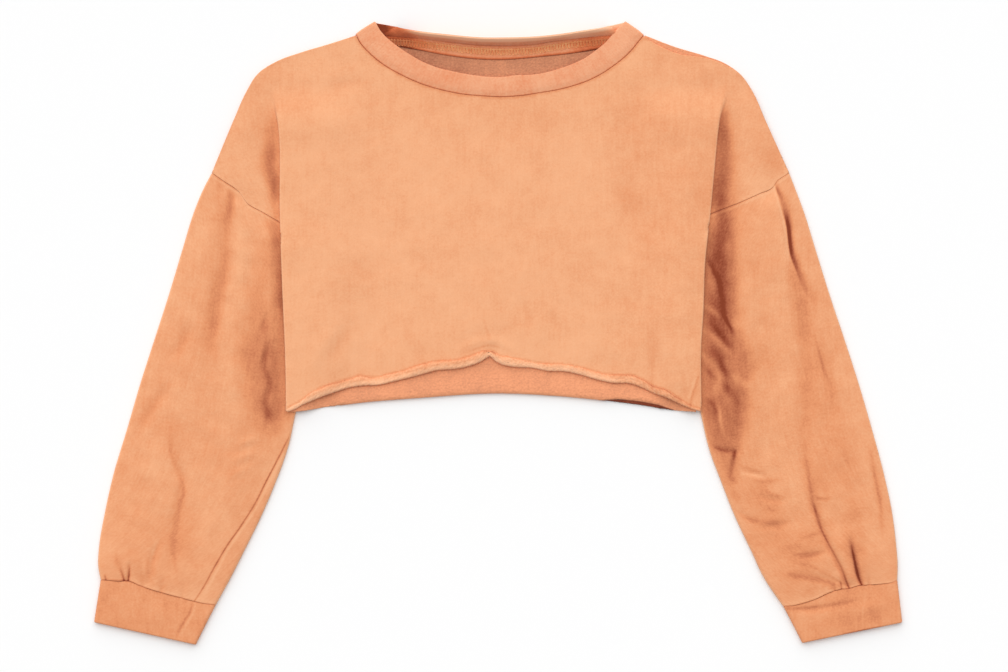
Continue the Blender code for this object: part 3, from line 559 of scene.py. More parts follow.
FRONT_SHOULDER_R = [
    (644,37), (659,46), (679,54), (705,58), (724,64.5), (741,75.5), (752,91), (765,120), (789,173),
]
NECK_FRONT = [
    (356,35), (360,43), (366,50), (375,58.5), (385,66), (400,74.5), (415,81.5), (430,87), (445,91),
    (460,94), (480,96), (500,97), (520,96), (540,93), (560,89.5), (575,85.5), (590,80), (605,72),
    (615,65), (625,57), (632,50), (638,42.5), (643.5,36),
]
FRONT_HEM = [
    (280,414.5), (289,411.5), (295,409.3), (302,405.2), (310,401.7), (318,398.2), (335,392.2),
    (350,387.7), (364,385.7), (378,385.2), (392,382.2), (402,379.7), (420,375.2), (436,370.7),
    (460,368.5), (470,366), (480,362.3), (486,358.5), (490,356.5), (495,361), (502,364.7), (515,367.2),
    (532,368), (546,371), (565,371.7), (583,375.7), (600,380.7), (614,383.2), (630,383.7), (640,387),
    (655,394), (665,397.2), (675,401.7), (685,406.3), (693,409.5), (707,413),
]
ROLL_TOP = [
    (280,411.5), (286,408.5), (300,401.5), (318,389), (326,386), (340,381.5), (350,378), (360,375.5),
    (368,377), (380,376.5), (390,374), (405,370), (422,364.5), (434,361.5), (456,360), (466,357.5),
    (478,353), (487,350.5), (493,351), (500,355), (511,358), (522,359.5), (545,363.5), (560,364),
    (575,366), (587,369), (603,373.5), (622,375), (633,375), (640,378), (655,386.5), (668,391), (680,399),
    (690,405.5), (707,410.5),
]
FRONT_FOLDS = [
    [(492,338,0.9,6), (487,315,0.8,9), (479,288,0.6,11), (470,262,0,12)],
    [(452,354,0,4), (466,347,0.5,4.5), (486,341,0.7,5), (506,346,0.5,4.5), (520,356,0,4)],
    [(362,314,0,9), (348,332,-0.7,8), (333,353,-0.6), (322,368)],
    [(345,318), (328,340,0.6,8), (314,362,0.4), (306,372)],
    [(686,130,0,14), (683,200,1.3,16), (682,290,1.4,15), (678,380,0.8,12)],
    [(620,150), (626,200,-0.7,12), (634,255)],
    [(652,325), (654,355,-0.6,8), (656,388)],
    [(520,298), (527,314,-0.5,4), (534,330)],
    [(549,312), (556,324,-0.5,4), (562,334)],
    [(326,90), (348,84,-0.6,7), (372,82)],
    [(500,104,0,9), (512,128,-0.3,10), (520,150)],
]
# Painted shade and highlight, written as folds are, in hundredths of the dye's range: paler above 0,
# deeper below. It darkens the right side and the shoulders, and draws the side seam, creases and ridges.
FRONT_PAINTED_SHADE = [
    [(695,60,-7,60), (690,220,-8), (690,400,-5)],
    [(390,108,-3,30), (500,112,-4), (620,108,-3)],
    [(262,70,-7,40), (244,130), (240,190,-5,30)],
    [(269,98,0,9), (266,118,-6,12), (265,140,-7), (265,162,-5,10), (268,182,0,8)],
    [(747,80), (757,110,-6,14), (764,140,-8), (776,172,-10), (782,182,0,12)],
    [(699,366), (697.5,378,-12,1), (694.5,388,-16,1.1), (691.5,397), (690,408,-18)],
    [(697,366), (695,378,8,1.2), (692,388,10), (689,397,10)],
    [(465,354), (476,349,-13,1), (488,345.5,-15), (499,347,-10), (507,351)],
    [(483,318), (486,327,-7,1.2), (489,337,-10), (492,344)],
    [(649,315), (651,345,-5,4), (652,372,-9,3), (652,386,-7,2.5)],
    [(362,322), (355,345,6,3), (354,374,5)],
]
# How far the roll stands off the back below it, along the hem.
LIFTED = [(310,325,360,380,470,486,493,510,600,625,670,685), (0,1,0.9,0.3,0.3,1,1,0.35,0.4,1,1,0.2)]
SHOULDER_FOLDS_L = [
    [(258,86,0,10), (246,120,1.1,13), (238,155,1.3), (246,190,0.9,12), (262,206,0,10)],
    [(271,108,0,6), (271,135,-0.9,7), (271,165,-1.2), (273,195,-0.9,6), (276,222)],
]
SHOULDER_FOLDS_R = [
    [(744,90,0,10), (752,120,1.4,13), (760,150,1.6), (765,180,0.8,12)],
    [(724,104,0,8), (726,130,-1.1,9), (727,160,-1.5,10), (723,190,-1.4,9), (720,214,-0.8)],
]
# Painted shade beside the body's side folds, where the cloth lies in their shade.
PLEAT_SHADE_L = [
    [(276,106,0,6), (275,116,-6,8), (275,129,-10,9), (274,142,-15), (272,155,-20), (272,168,-22),
     (275,181,-30,8), (276,194,-26,7), (276,207,-16,8), (276,222,-18), (277,246,-20,7), (279,262,-22),
     (281,280,-28), (282,298,-28,8), (283,315,-20,9), (283,337,-14,13), (283,370,-12,17), (283,400),
     (284,426,0,14)],
]
PLEAT_SHADE_R = [
    [(727,96,0,5), (725,105,-8,6), (723,116,-20), (722,142,-24,9), (722,155,-24,10), (721,168,-24,11),
     (720,194,-29,12), (722,207,-30), (725,222,-29,13), (720,240,-32,15), (718,256), (719,276,-31,15.5),
     (719,298,-31,16), (718,324,-32,18), (720,350,-32,21), (721,376,-28,24), (722,402,-28,23),
     (724,428,-30,20), (727,448,-22,13), (731,470,-8,9), (736,484)],
    ([(707,256,0,2), (710,264,-13,2.4), (714,272,-15), (718,281), (720.5,291,-13,2.6), (722,300),
      (722,309,-14), (724,317,-20,2.2), (728,324,-24,2), (732,331,-16), (735,338)], -0.2),
]
# Painted shade in the creases that cross that hollow, and painted highlight on the paler ridges between
# them.
HOLLOW_R = [
    [(703,304), (709,308,12,3), (716,314,14,2.5), (721,320,0,2)],
    [(704,262,3,2.5), (709,274,5,3), (713,288), (716,300)],
    [(706,240,0,8), (703,262,-6,7), (703,290,-7), (703,320)],
    [(704,331,5,3), (712,336,12), (719,343), (726,350,10), (734,357)],
    [(703,355,8,3.5), (710,361,7,4), (716,369,8), (719,379,10), (716,390,8,5), (711,397)],
    [(728,370,0,3), (735,377,10,3.5), (744,383,8,4), (753,388)],
    [(719,404), (719.5,412,14,1.6), (721,424,12), (725,437,7), (728,444)],
    [(708,318), (714,326,-10,3), (722,337,-16,3.4), (729,346,-10,3), (734,352)],
    [(704,341,0,3), (712,349,-8,4), (719,360,-13), (722,368,-15,3.5), (727,375,-8,3), (730,380)],
    [(702,364,-5,3), (708,371,-12), (713,377), (716,382)],
    [(721,379,0,3), (726,388,-13,3.5), (732,395,-8,4), (737,403,-5), (738,414,0), (737,424)],
    [(704,399), (710,401,-10,2.5), (714.5,407,-14), (715,416,-8), (714,426)],
    [(706,404), (706.5,413,-6,3.5), (708,424,-8), (711,438)],
    [(711,445,0,1.2), (716,448,-15,1.3), (724,451,-12), (731,452)],
    [(734.5,448,0,1.5), (734,454,-24,2), (732.5,462,-8,2.5), (730.5,470,-10), (730,476), (733,480,-14,2),
     (738,484)],
    [(738,328,-2,7), (743,350,-12,8), (745,366,-16,9), (742,386,-12,8), (744,406,-10), (744,430,-4),
     (742,450,0,6)],
    [(705,396,-4,5), (710,412,-10,6), (713,424,-2), (714,437,-6,7), (717,450,-5,6), (724,468,-6,5),
     (731,486), (740,502,-4,6), (748,516)],
]

front_hem, roll_top = edge(FRONT_HEM), edge(ROLL_TOP)
front_rolled, front_reach, front_rise = roll_path(FRONT_ROLL_TURN, 1.0, ROLL_HIGH)


def roll_half(x):
    """Half the width of the rolled hem, which is uneven and dies away at the sides."""
    uneven_by = 0.22 * unevenness(x, 0 * x, seed=12, longest=34, shortest=9)
    return np.maximum((front_hem(x) - roll_top(x) - CLOTH) / 2 + uneven_by, 1.0)


def pleat(y):
    """How far the cloth turns at the side pleat, and how deep the pleat lies, at a height y."""
    turn = np.maximum(math.pi * ramp(y, *PLEAT_TOP), 0.01)
    return turn, PLEAT_DEPTH * ramp(y, PLEAT_TOP[1] - 6, PLEAT_FULL)


def pleat_path(s, y):
    """Distance outwards and downwards after a length s of cloth past the start of the pleat."""
    turn, depth = pleat(y)
    radius = PLEAT_ARC / turn
    a = turn * np.minimum(s, PLEAT_ARC) / PLEAT_ARC
    run = np.clip(s - PLEAT_ARC, 0.0, depth)
    b = turn * np.clip(s - PLEAT_ARC - depth, 0.0, PLEAT_ARC) / PLEAT_ARC
    out = radius * np.sin(a) + run * np.cos(turn) + radius * (np.sin(turn) - np.sin(turn - b))
    fall = radius * (1 - np.cos(a)) + run * np.sin(turn) + radius * (np.cos(turn - b) - np.cos(turn))
    return out + np.maximum(s - 2 * PLEAT_ARC - depth, 0.0), fall


def pleat_length(y):
    return 2 * PLEAT_ARC + pleat(y)[1]


def taken_up(line, side):
    """An edge of the flat cut, longer than it lies by what the pleat takes up."""
    y = line[:, 1]
    return line + cols(side * (pleat_length(y) - pleat_path(pleat_length(y), y)[0]), 0 * y)


def fold_start_l(y):
    return fold_l(y) + PLEAT_RADIUS + CLOTH / 2


def fold_start_r(y):
    return fold_r(y) - PLEAT_RADIUS - CLOTH / 2


def front_height(x, y):
    """Middle of the front's upper layer, lifted beside its folds and nowhere below the back."""
    left, right = 1 - ramp(x - tuck_l(y), 2, 60), 1 - ramp(tuck_r(y) - x, 2, 60)
    share = ramp(y, PLEAT_FULL - 6, PLEAT_FULL + 26)
    over_pleat = pleat_path(pleat_length(y), y)[1]
    side_rise = over_pleat * (1 - share) + (FRONT_OVER_SLEEVE - FRONT_REST) * share
    crown = 1.3 * np.exp(-(((x - 495) / 120) ** 2) - ((y - 235) / 85) ** 2)
    hem = HEM_DROP * ramp(y, front_hem(x) - 42, front_hem(x) - 8)
    height = FRONT_REST + np.maximum(left, right) * side_rise + crown - hem
    return np.maximum(height, back_height(x, y) + CLOTH + 0.15)


def front_place(x, y):
    """Where a point of the front's flat pattern lies, and how deep its colour is, with painted shade and
    highlight.
    """
    wide = roll_half(x)
    start = front_hem(x) - wide - CLOTH / 2
    past = np.maximum(y - start, 0.0) / wide
    y = np.minimum(y, start) + np.interp(past, front_rolled, front_reach) * wide
    left, right = fold_start_l(y), fold_start_r(y)
    s_l, s_r = np.maximum(left - x, 0.0), np.maximum(x - right, 0.0)
    out_l, fall_l = pleat_path(s_l, y)
    out_r, fall_r = pleat_path(s_r, y)
    upper = np.clip(x, left, right)
    lift = np.interp(past, front_rolled, front_rise) * wide
    z = front_height(upper, y) - fall_l * (s_l > 0) - fall_r * (s_r > 0) + lift
    z += relief(FRONT_FOLDS, upper, y)
    z += 0.16 * unevenness(upper, y, seed=3, longest=120, shortest=26)
    z += 0.22 * (past > 0) * unevenness(x, y, seed=4, longest=15, shortest=6)
    x = upper - out_l * (s_l > 0) + out_r * (s_r > 0)
    shade_and_tone = painted_fold_shade(FRONT_FOLDS, [], upper, y) * (s_l + s_r == 0) + painted_fold_shade([], FRONT_PAINTED_SHADE, x, y)
    # Painted light and shade on the roll: paler along its lower side and deeper along its upper side,
    # deeper at the right where the back's hem lifts below it, and a painted shadow line on the face just
    # above the roll.
    rolled = np.where(past > 0.4, 0.14 - 0.2 * ramp(y, front_hem(x) - 3, front_hem(x) - 6), 0.0)
    shade_and_tone += rolled * (1 - 0.8 * ramp(x, 605, 630)) - 0.07 * (past > 0.4) * ramp(x, 605, 630)
    shade_and_tone -= 0.16 * bell(y - roll_top(x) + 0.6, 0.9) * (past == 0)
    # At each side: a painted highlight along the pleat's fold edge, and the painted shade and highlight of
    # its shoulder folds and pleat shade.
    for s, folds, shades in (
        (s_l, SHOULDER_FOLDS_L, PLEAT_SHADE_L), (s_r, SHOULDER_FOLDS_R, PLEAT_SHADE_R),
    ):
        z += ramp(s - pleat_length(y), -3, 8) * relief(folds, x, y)
        shade_and_tone += 0.2 * ramp(s, 0, 0.9) * ramp(s, 3.4, 2.2) * ramp(y, 100, 150)
        shade_and_tone += ramp(s, 2, 5) * painted_fold_shade(folds, shades, x, y)
    return cols(x, y, z), shade_and_tone


def under_fold(x, y):
    """How far the left armhole's seam is out of sight below its small fold."""
    return np.exp(-(((x - 242.8) / 5) ** 4) - ((y - 197) / 11) ** 4)


def front_hem_line(share):
    wide = roll_half(hem_x)
    return cols(hem_x, front_hem(hem_x) - wide - CLOTH / 2 + share * front_rolled[-1] * wide)


y_l, y_r = float(armhole_l(296)), float(armhole_r(694))
side_s = PLEAT_ARC * SIDE_TURN
turn_s = PLEAT_ARC * np.array([2, 1, 1, SIDE_TURN]) + (PLEAT_DEPTH, PLEAT_DEPTH, 5, 0)
turn_y = np.array([0, 2.5, 5.5, 9])
turn_l = curve(cols(fold_start_l(y_l + turn_y) - turn_s, y_l + turn_y), EDGE)
turn_r = curve(cols(fold_start_r(y_r + turn_y) + turn_s, y_r + turn_y), EDGE)
rows_l, rows_r = np.arange(y_l + 12, 404, EDGE), np.arange(y_r + 12, 404, EDGE)
hem_x = np.linspace(float(fold_start_l(405)) - side_s, float(fold_start_r(405)) + side_s, HEM_POINTS)
outline = joined(
    taken_up(seam_l[seam_l[:, 0] < 290], -1), turn_l, cols(fold_start_l(rows_l) - side_s, rows_l),
    front_hem_line(1.0), cols(fold_start_r(rows_r) + side_s, rows_r)[::-1], turn_r[::-1],
    taken_up(seam_r[seam_r[:, 0] > 703], 1)[::-1], taken_up(curve(FRONT_SHOULDER_R, EDGE), 1)[::-1],
    curve(NECK_FRONT, EDGE)[::-1], taken_up(curve(SHOULDER_L, EDGE), -1),
)
ties = [front_hem_line(share)[1:-1] for share in np.linspace(0.0, 0.95, 13)]
for start, sign, y_end in ((fold_start_l, -1, y_l), (fold_start_r, 1, y_r)):
    upper = np.arange(PLEAT_TOP[0] - 8, y_end + 1, EDGE)
    middle_rows = np.arange(PLEAT_TOP[0] - 8, y_end - 3, EDGE)
    lower = np.arange(y_end + 12, 403, EDGE)
    for share in np.linspace(0.0, 1.0, 7):
        ties.append(cols(start(upper) + sign * share * PLEAT_ARC, upper))
        rows = middle_rows if share else middle_rows[pleat(middle_rows)[1] > 1.5]
        ties.append(cols(start(rows) + sign * (PLEAT_ARC * (1 + share) + pleat(rows)[1]), rows))
    for share in (0.0, 0.15, 0.3, 0.45):
        ties.append(cols(start(lower) + sign * share * PLEAT_ARC, lower))
flat, faces = filled(outline, ties, 2.7, lambda x, y: y > front_hem(x) - 34)
middle, shade_and_tone = front_place(*flat.T)
away, _, _ = nearest(np.vstack([outline, outline[:1]]), *flat.T)
x, y = flat.T
hidden = under_fold(middle[:, 0], middle[:, 1])
half = np.where(y > 300, rounded(away, CLOTH), rounded(away, CLOTH, SEWN))
half += (CLOTH / 2 - half) * hidden
# Painted shade in the seam lines with a painted highlight along the armholes' ridges beside them,
# painted light where the left armhole's seam lies hidden below its fold, and painted shade along
# the roll's raw edge, most where the roll stands off the back, and along the neck's seam.
seam_shade_line, seam_highlight = bell(away, 0.7) * (y < 240), bell(away - 2.2, 1.1) * (y < 240) * (y > 165)
lifted = np.interp(x, *LIFTED)
raw_edge_shade = bell(away, 0.5 + 0.5 * lifted) * (y > 300) * (0.3 + 0.7 * lifted)
shade_and_tone += (0.08 * seam_highlight - 0.04 * seam_shade_line) * (1 - hidden) + 0.3 * seam_shade_line * hidden - 0.36 * raw_edge_shade
shade_and_tone -= 0.2 * bell(away, 1.3) * ((y < 110) & (x > 350) & (x < 650))
front = cloth("front_cloth", middle, faces, half, terry_face, terry_roll, flat, shade_and_tone)
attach(front, "root")
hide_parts("front_panel")

# ---- Sleeves ----
# Two full sleeves of the same terry, each one layer, seamed under the arm and a little gathered at
# armhole and cuff. They lie pressed flat, their underarm tucked below the body.

SLEEVE_REST, CUFF_STEP = 2.95, 1.3
SLEEVE_POINTS = 26, 180  # across its lower and its upper layer
BENDS = np.radians([-60, -30, 0, 30, 60])
# Sections from armhole to cuff: outer x, y, inner x, y, and the rise of the upper layer.
SLEEVE_L = [
    (212,174,315.6,247.5,0), (203.5,190,317.5,261,1.2), (195,210,318.8,280,2), (182.5,250,317.5,312,2.5),
    (169,295,313,347,2.8), (154.5,340,305,380,2.8), (141,382,296.5,410,2.9), (127,430,288,448,3),
    (113.5,475,275,484,3.2), (105,513,260,519,3.3), (99.5,545,244,551,3.3), (98.5,566,229,580,2.6),
    (101,579.5,216,603.5,1.2),
]
SLEEVE_R = [
    (789,174,683.2,229,0), (794.5,188,680.5,246,1.2), (803,210,679,268,2), (815.5,250,679.8,303,2.6),
    (829.5,295,684,341,2.9), (844.5,340,691.5,378,2.9), (858,382,700,411,3), (872,430,709,449,3.1),
    (884,475,722,484,3.2), (892,513,736,519,3.3), (896,545,751.5,551,3.3), (897.5,566,766,580,2.6),
    (897,580,783,604.5,1.2),
]
# How far the cuff's seam wanders from a straight line, by its share of the way inwards.
CUFF_SEAM_L = [
    (0,0), (0.14,-2.2), (0.27,-4.2), (0.34,-2.4), (0.43,-1), (0.65,0.9), (0.78,1.8), (0.9,2.2), (1,1.2),
]
CUFF_SEAM_R = [
    (0,0), (0.04,0.9), (0.15,0), (0.31,-2.5), (0.37,-3), (0.42,-2), (0.5,-3.2), (0.59,-2.4), (0.72,1.2),
    (0.83,2.7), (0.94,2.8), (1,1.6),
]
SLEEVE_FOLDS_L = [
    [(243,205,0.5,9), (240,250,1.5,10), (240,300,1.8,11), (238,350,1.5), (232,410,0.5,12)],
    [(231,196,-0.8,5), (226,230,-1.6,8), (226,262,-1.9), (219,292,-2.1,9), (213,328,-1.9,8),
     (210,350,-0.8), (207,368)],
    [(219,180,-1.2,2.5), (220,190,-0.9,3), (221,205)],
    [(252,240), (251,265,-0.6,6), (250,292)],
    [(268,312,0,2.5), (265,322,-1,3), (262,335)],
    [(269,338), (267,350,-1,3), (264,362,-1.2,3.5), (267,374,-1), (270,386,-1.1), (266,400,-1.1,4),
     (269,414,-1.2), (274,424)],
    [(257,345), (254,370,0.8,7), (252,395,0.8,8), (254,420)],
    [(172,380,0,5), (160,397,-1.1,6), (150,411,-1.2), (138,430,-0.7), (130,442,0,5)],
    [(194,322), (185,338,-1,6), (177,351,-0.9), (167,364)],
    [(176,426), (172,448,-0.6,5), (177,466,-0.8), (184,482,-1.1), (181,496,-1.1,6), (178,520,-0.9,7),
     (175,545), (172,568,-0.4)],
    [(162,538), (154,557,-1.3,4), (151,575,-0.9), (149,587)],
    [(234,448,0,4), (248,441,0.7,3.5), (263,438,0,4)],
    [(231,463), (246,456,0.7,4), (262,451)],
    [(226,479), (241,471,0.6,4), (257,466)],
    [(119,550,0,1.8), (120.5,564,-0.6,2), (123,574,-1.6,1.8), (125,581,-2.4,2)],
    [(130,560), (129.5,572,-1.8,1.8), (128.5,581,-2.6,2)],
    [(126,566), (127,580,0.8,1.8)],
    [(105,573), (106.5,581,-1.2,1.6)],
    [(141,560), (143,586,-1,3)],
    [(163,574), (162,590,-0.9,3)],
    [(185,580), (182,597,-0.8,3)],
]
SLEEVE_FOLDS_R = [
    ([(770,186,0.6,8), (776,207,1.6), (781,240,2.2), (784,258), (789,278,1.4,9), (794,300,0.3)], 0.5),
    [(778,190,-0.5,2.5), (785.5,210,-0.9,3), (789.5,228,-1.4,3.3), (791,244,-1.7,3.2),
     (794.5,258,-1.4,3.6), (799,272,-1,4.5), (803,288,-1,6), (805,315,-1.2,8), (805,350,-1.1,9),
     (806,400), (804,445,-0.9), (809,480,-0.8,7), (816,508,-0.7,5)],
    [(805,492,0,4), (815,512,-1.4,3.5), (828,545,-1.7,3.2), (838,565,-2,3), (847,586,-2.2,2.8)],
    [(822,508), (837,545,1.1,6), (850,578,1.3,4)],
    [(849,536,0,2.5), (852,550,-2.6,2.6), (855,563,-3.2), (858,576,-3.4), (861,585,-2.4,2.4)],
    [(837,576), (842,589,-1.2,1.8)],
    [(830,580), (834,592,-1,1.8)],
    [(868,572), (869,586,-1.4,1.8)],
    [(817,332), (823,365,-1.1,6), (831,392), (836,424)],
    [(872,455), (876,484,-1.1,4), (882,518)],
    ([(721,214,-1,8), (724,232,-1.5,10), (721,252,-1.7,11), (723,280,-1.8), (725,308,-1.8,9),
      (729,332,-1.5,7), (734,352,-0.6,6)], 0.2),
    [(738,225,0.4,10), (748,280,1.5), (749,310,1.8,9), (749,340,1.4), (752,400,1,12), (754,450,0.4)],
    [(711,346), (721,362,-0.9,5), (730,383,-1.1,6), (737,402,-1.3,7), (738,425,-1.1), (735,446,-0.7,6)],
    [(701,350,0.6,4), (712,357,1.2), (721,368,0.2)],
    [(716,396), (719,412,1,3), (723,430), (728,443)],
    [(708,442,-0.4,2.5), (722,449,-1.3,2.6), (735,452,-1.3)],
    [(737,448,-0.6,3), (733,460,-1), (731,472), (737,484)],
    [(734,508), (746,517,-1.1,3), (759,522)],
    [(738,468), (752,473,-0.8,3), (768,476)],
    [(753,494), (770,499,-0.8,3), (788,501)],
    [(752,528), (772,526,-0.8,3), (794,521)],
    [(792,556), (812,554,-0.8,3.5), (832,549,0,3)],
    [(788,574), (815,577,-0.8,3.5), (842,583,-0.6,2.5)],
]
# Painted shade and painted highlight on each sleeve's upper layer, in hundredths of the dye's range: the
# underarm seam's line, creases, gathers and ridges.
SLEEVE_SHADE_L = PLEAT_SHADE_L + [
    [(262,316,0,3), (265,326,-4,4), (268,340,-2), (267,350,-10), (264,363,-8), (268,376), (271,389,-4),
     (265,402,-9), (268,415,-12), (271,426)],
    [(203,196,0,14), (192,240,5,15), (179,290,3), (165,330,0,12)],
    [(292,431,-16,0.8), (281,453,-32), (267,480,-42), (256,502,-28), (241,526,-32), (227,546,-36),
     (213,570,-30), (202,590,-28), (194.5,601,-24)],
    [(120.5,569,-10,1), (123,575,-20,1.1), (125,581,-28)],
    [(130,568,-12,1.2), (129.5,575,-32,1.3), (128.5,581,-30,1.2)],
    [(105.5,575,-15,1), (106.5,581,-22)],
    [(102,579,-12,1.2), (115,579.5,-20), (132,581.5), (140,585)],
    [(284,454,12,1.4), (270,481), (259,503), (244,527), (230,547), (217,571), (206,591,10)],
    [(229,188,0,3), (230,195,-12,4), (231,205,-14), (229,218,-6,5), (227,234)],
    ([(238.5,192,5,8), (240,240,6), (239,280,3,9), (238,305,0), (237,330,-5), (237,372),
      (234,400)], -0.6),
    [(260,235,0,12), (261,262,-5,13), (259,290,-10,14), (258,320,-13), (256,345,-18), (256,370,-20),
     (257,395,-18,15), (262,412,-15,16), (270,430,-10), (272,455,0,12)],
    [(271,334), (273,345,-6,6), (274,362,-12,7), (276,395,-10), (277,415,-14,8), (280,432,0,6)],
    [(196,500,0,12), (190,530,-5,14), (192,560), (198,590,0,12)],
    [(172,418), (170,438,-7,2.4), (172,455,-8,2.2), (177,468,-6), (182,482,-8,2.4), (184.5,492,-12,2),
     (180,505,-10,2.8), (176,525,-6,3.4), (173,543,-8), (175,560,-7,2.6), (178,577,0,2)],
    [(160,534), (155,547,9,2), (151,560,7), (149,574)],
    [(150,552), (148,566,-8,1.8), (147,582)],
    [(116,550), (117,560,-10,1.8), (119,569,0,1.6)],
]
SLEEVE_SHADE_R = PLEAT_SHADE_R + HOLLOW_R + [
    ([(774.5,181,-12,2), (776.5,190,-30), (779.5,198,-20,3), (782.5,208,-20,4.4), (785,218,-40,3),
      (787,228,-60,2.4), (787.8,236,-62,2.1), (788.8,246,-60,2.2), (790.5,256,-46,2.5),
      (793.5,264,-34,2.6), (797,272,-24,2.8), (800.5,281,-14,4), (805,290,-10,5), (812,300,-6),
      (820,312,0,4)], -0.6),
    [(772.5,184,5,1.2), (777,200,12), (781,214,13), (784,228), (785.4,240,12), (786.5,252,8), (788,262)],
    [(788,262,-4,4), (793,276,-16,6), (795,290,-15,7), (797,306,-10,9), (801,330,-5,10), (803,350)],
    [(812,306,-2,14), (816,350,-4), (816,420,-5), (820,455,-6), (814,500,-5,16), (812,545,-10,20),
     (800,585,-6)],
    [(732,372,0,5), (734,386,5,6), (731,398), (730,412,0,5)],
    [(868,440), (872,462,-9,2), (875,480,-13), (879,497), (881,520,-7,2.5), (882,545,0,3)],
    [(803,435), (806,462,-8,2.4), (809,482,-12,2.2), (812,500,-12,2), (817,516,-16,1.6),
     (821,528,-10,1.3)],
    [(814,334), (817,345,-8,1.6), (820,358,-11), (825,374,-10), (831,388)],
    [(741,473,10,1.8), (758,476,12), (767,479)],
    [(737,463), (748,468,-8,1.6), (757,471), (767,471)],
    [(750,480), (765,481,-10,1.6), (787,479)],
    [(758,487), (768,492,-10,1.8), (777,496,-12), (787,498)],
    [(764,507), (772,510,-10,1.3), (782,512)],
    [(739,514), (748,519,-10,2.2), (760,522,-10,2.6), (777,522,-8,2.8), (792,521,0,2.6)],
    [(776,547), (790,546,-7,1.8), (806,545)],
    [(798,538), (808,536,-11,1.8), (818,533,-8,1.6), (824,531)],
    [(790,555), (802,555,-13,2), (814,553.5,-12), (828,551)],
    [(783,558), (803,564,-7,1.6), (823,571,-10), (842,584,-6,1.4)],
    [(775,571), (792,575,-12,2.4), (815,580,-13,2), (838,586,-10,1.6)],
    [(767,594), (775,597,-8,1.6), (784,601)],
    [(812,495), (819,498,-16,1.6), (826,498.5,-16,1.5), (834,496)],
    [(813,503), (815,512,-10,1.3), (817,520)],
    [(730,222,0,4), (733.5,245,-10,4.5), (733.5,270,-8), (734,300), (736,322,0,5)],
    [(708,290), (711,304,-6,6), (707,338), (706,352)],
    [(836,400,0,12), (842,440,-6,14), (848,480,-4), (850,520,0,12)],
    [(783,310), (783,345,5,10), (786,390)],
    [(703,346), (709,353,-13,4), (716,360,-6), (722,368)],
    [(851,546,-10,1.2), (853,556,-35,1.3), (855,566,-50,1.4), (857.5,576,-55), (859,580,-40,1.2),
     (862,585,-30)],
    [(815,518,0,1.3), (820,528,-20,1.1), (828,543,-22,1), (836,557,-18), (843,571), (846,580,-26,1.1),
     (849,588,-30)],
    [(840,581,-20,1), (841,589,-20)],
    [(834,584,-5,1), (835,591,-18)],
    [(800,574), (820,579,-8,1.5), (838,585,-10,1.2)],
    [(812,586), (828,588,-8,1.3), (840,589,-10,1.2)],
    [(850,505,-3,12), (852,540,-11,13), (856,568,-12,11), (858,590,0,10)],
    [(760,470,-5,14), (766,510,-7,16), (790,560,-8,18), (800,600)],
]


def flat_ring(at, width, low, bend, lower, upper):
    """A flattened ring of cloth: its lower layer, a turn, its upper layer and the other turn."""
    run, turn = width - 2 * bend, low + bend + bend * np.sin(BENDS)
    gone = (
        bend + run * np.linspace(0, 1, lower), width - bend + bend * np.cos(BENDS),
        bend + run * np.linspace(1, 0, upper), bend + bend * np.cos(math.pi - BENDS[::-1]),
    )
    z = np.concatenate([np.full(lower, low), turn, np.full(upper, low + 2 * bend), turn[::-1]])
    share, x, y = at(np.concatenate(gone))
    on_top = slice(lower + len(BENDS), lower + len(BENDS) + upper)
    return cols(x, y, z), share, on_top


def tube(name, rings, half, inner, pattern, shade_and_tone):
    faces = grid(len(rings), len(rings[0]), round_wide=True)
    half, pattern, shade_and_tone = np.concatenate(half), np.vstack(pattern), np.concatenate(shade_and_tone)
    return cloth(name, np.vstack(rings), faces, half, terry_face, inner, pattern, shade_and_tone, tube=True)


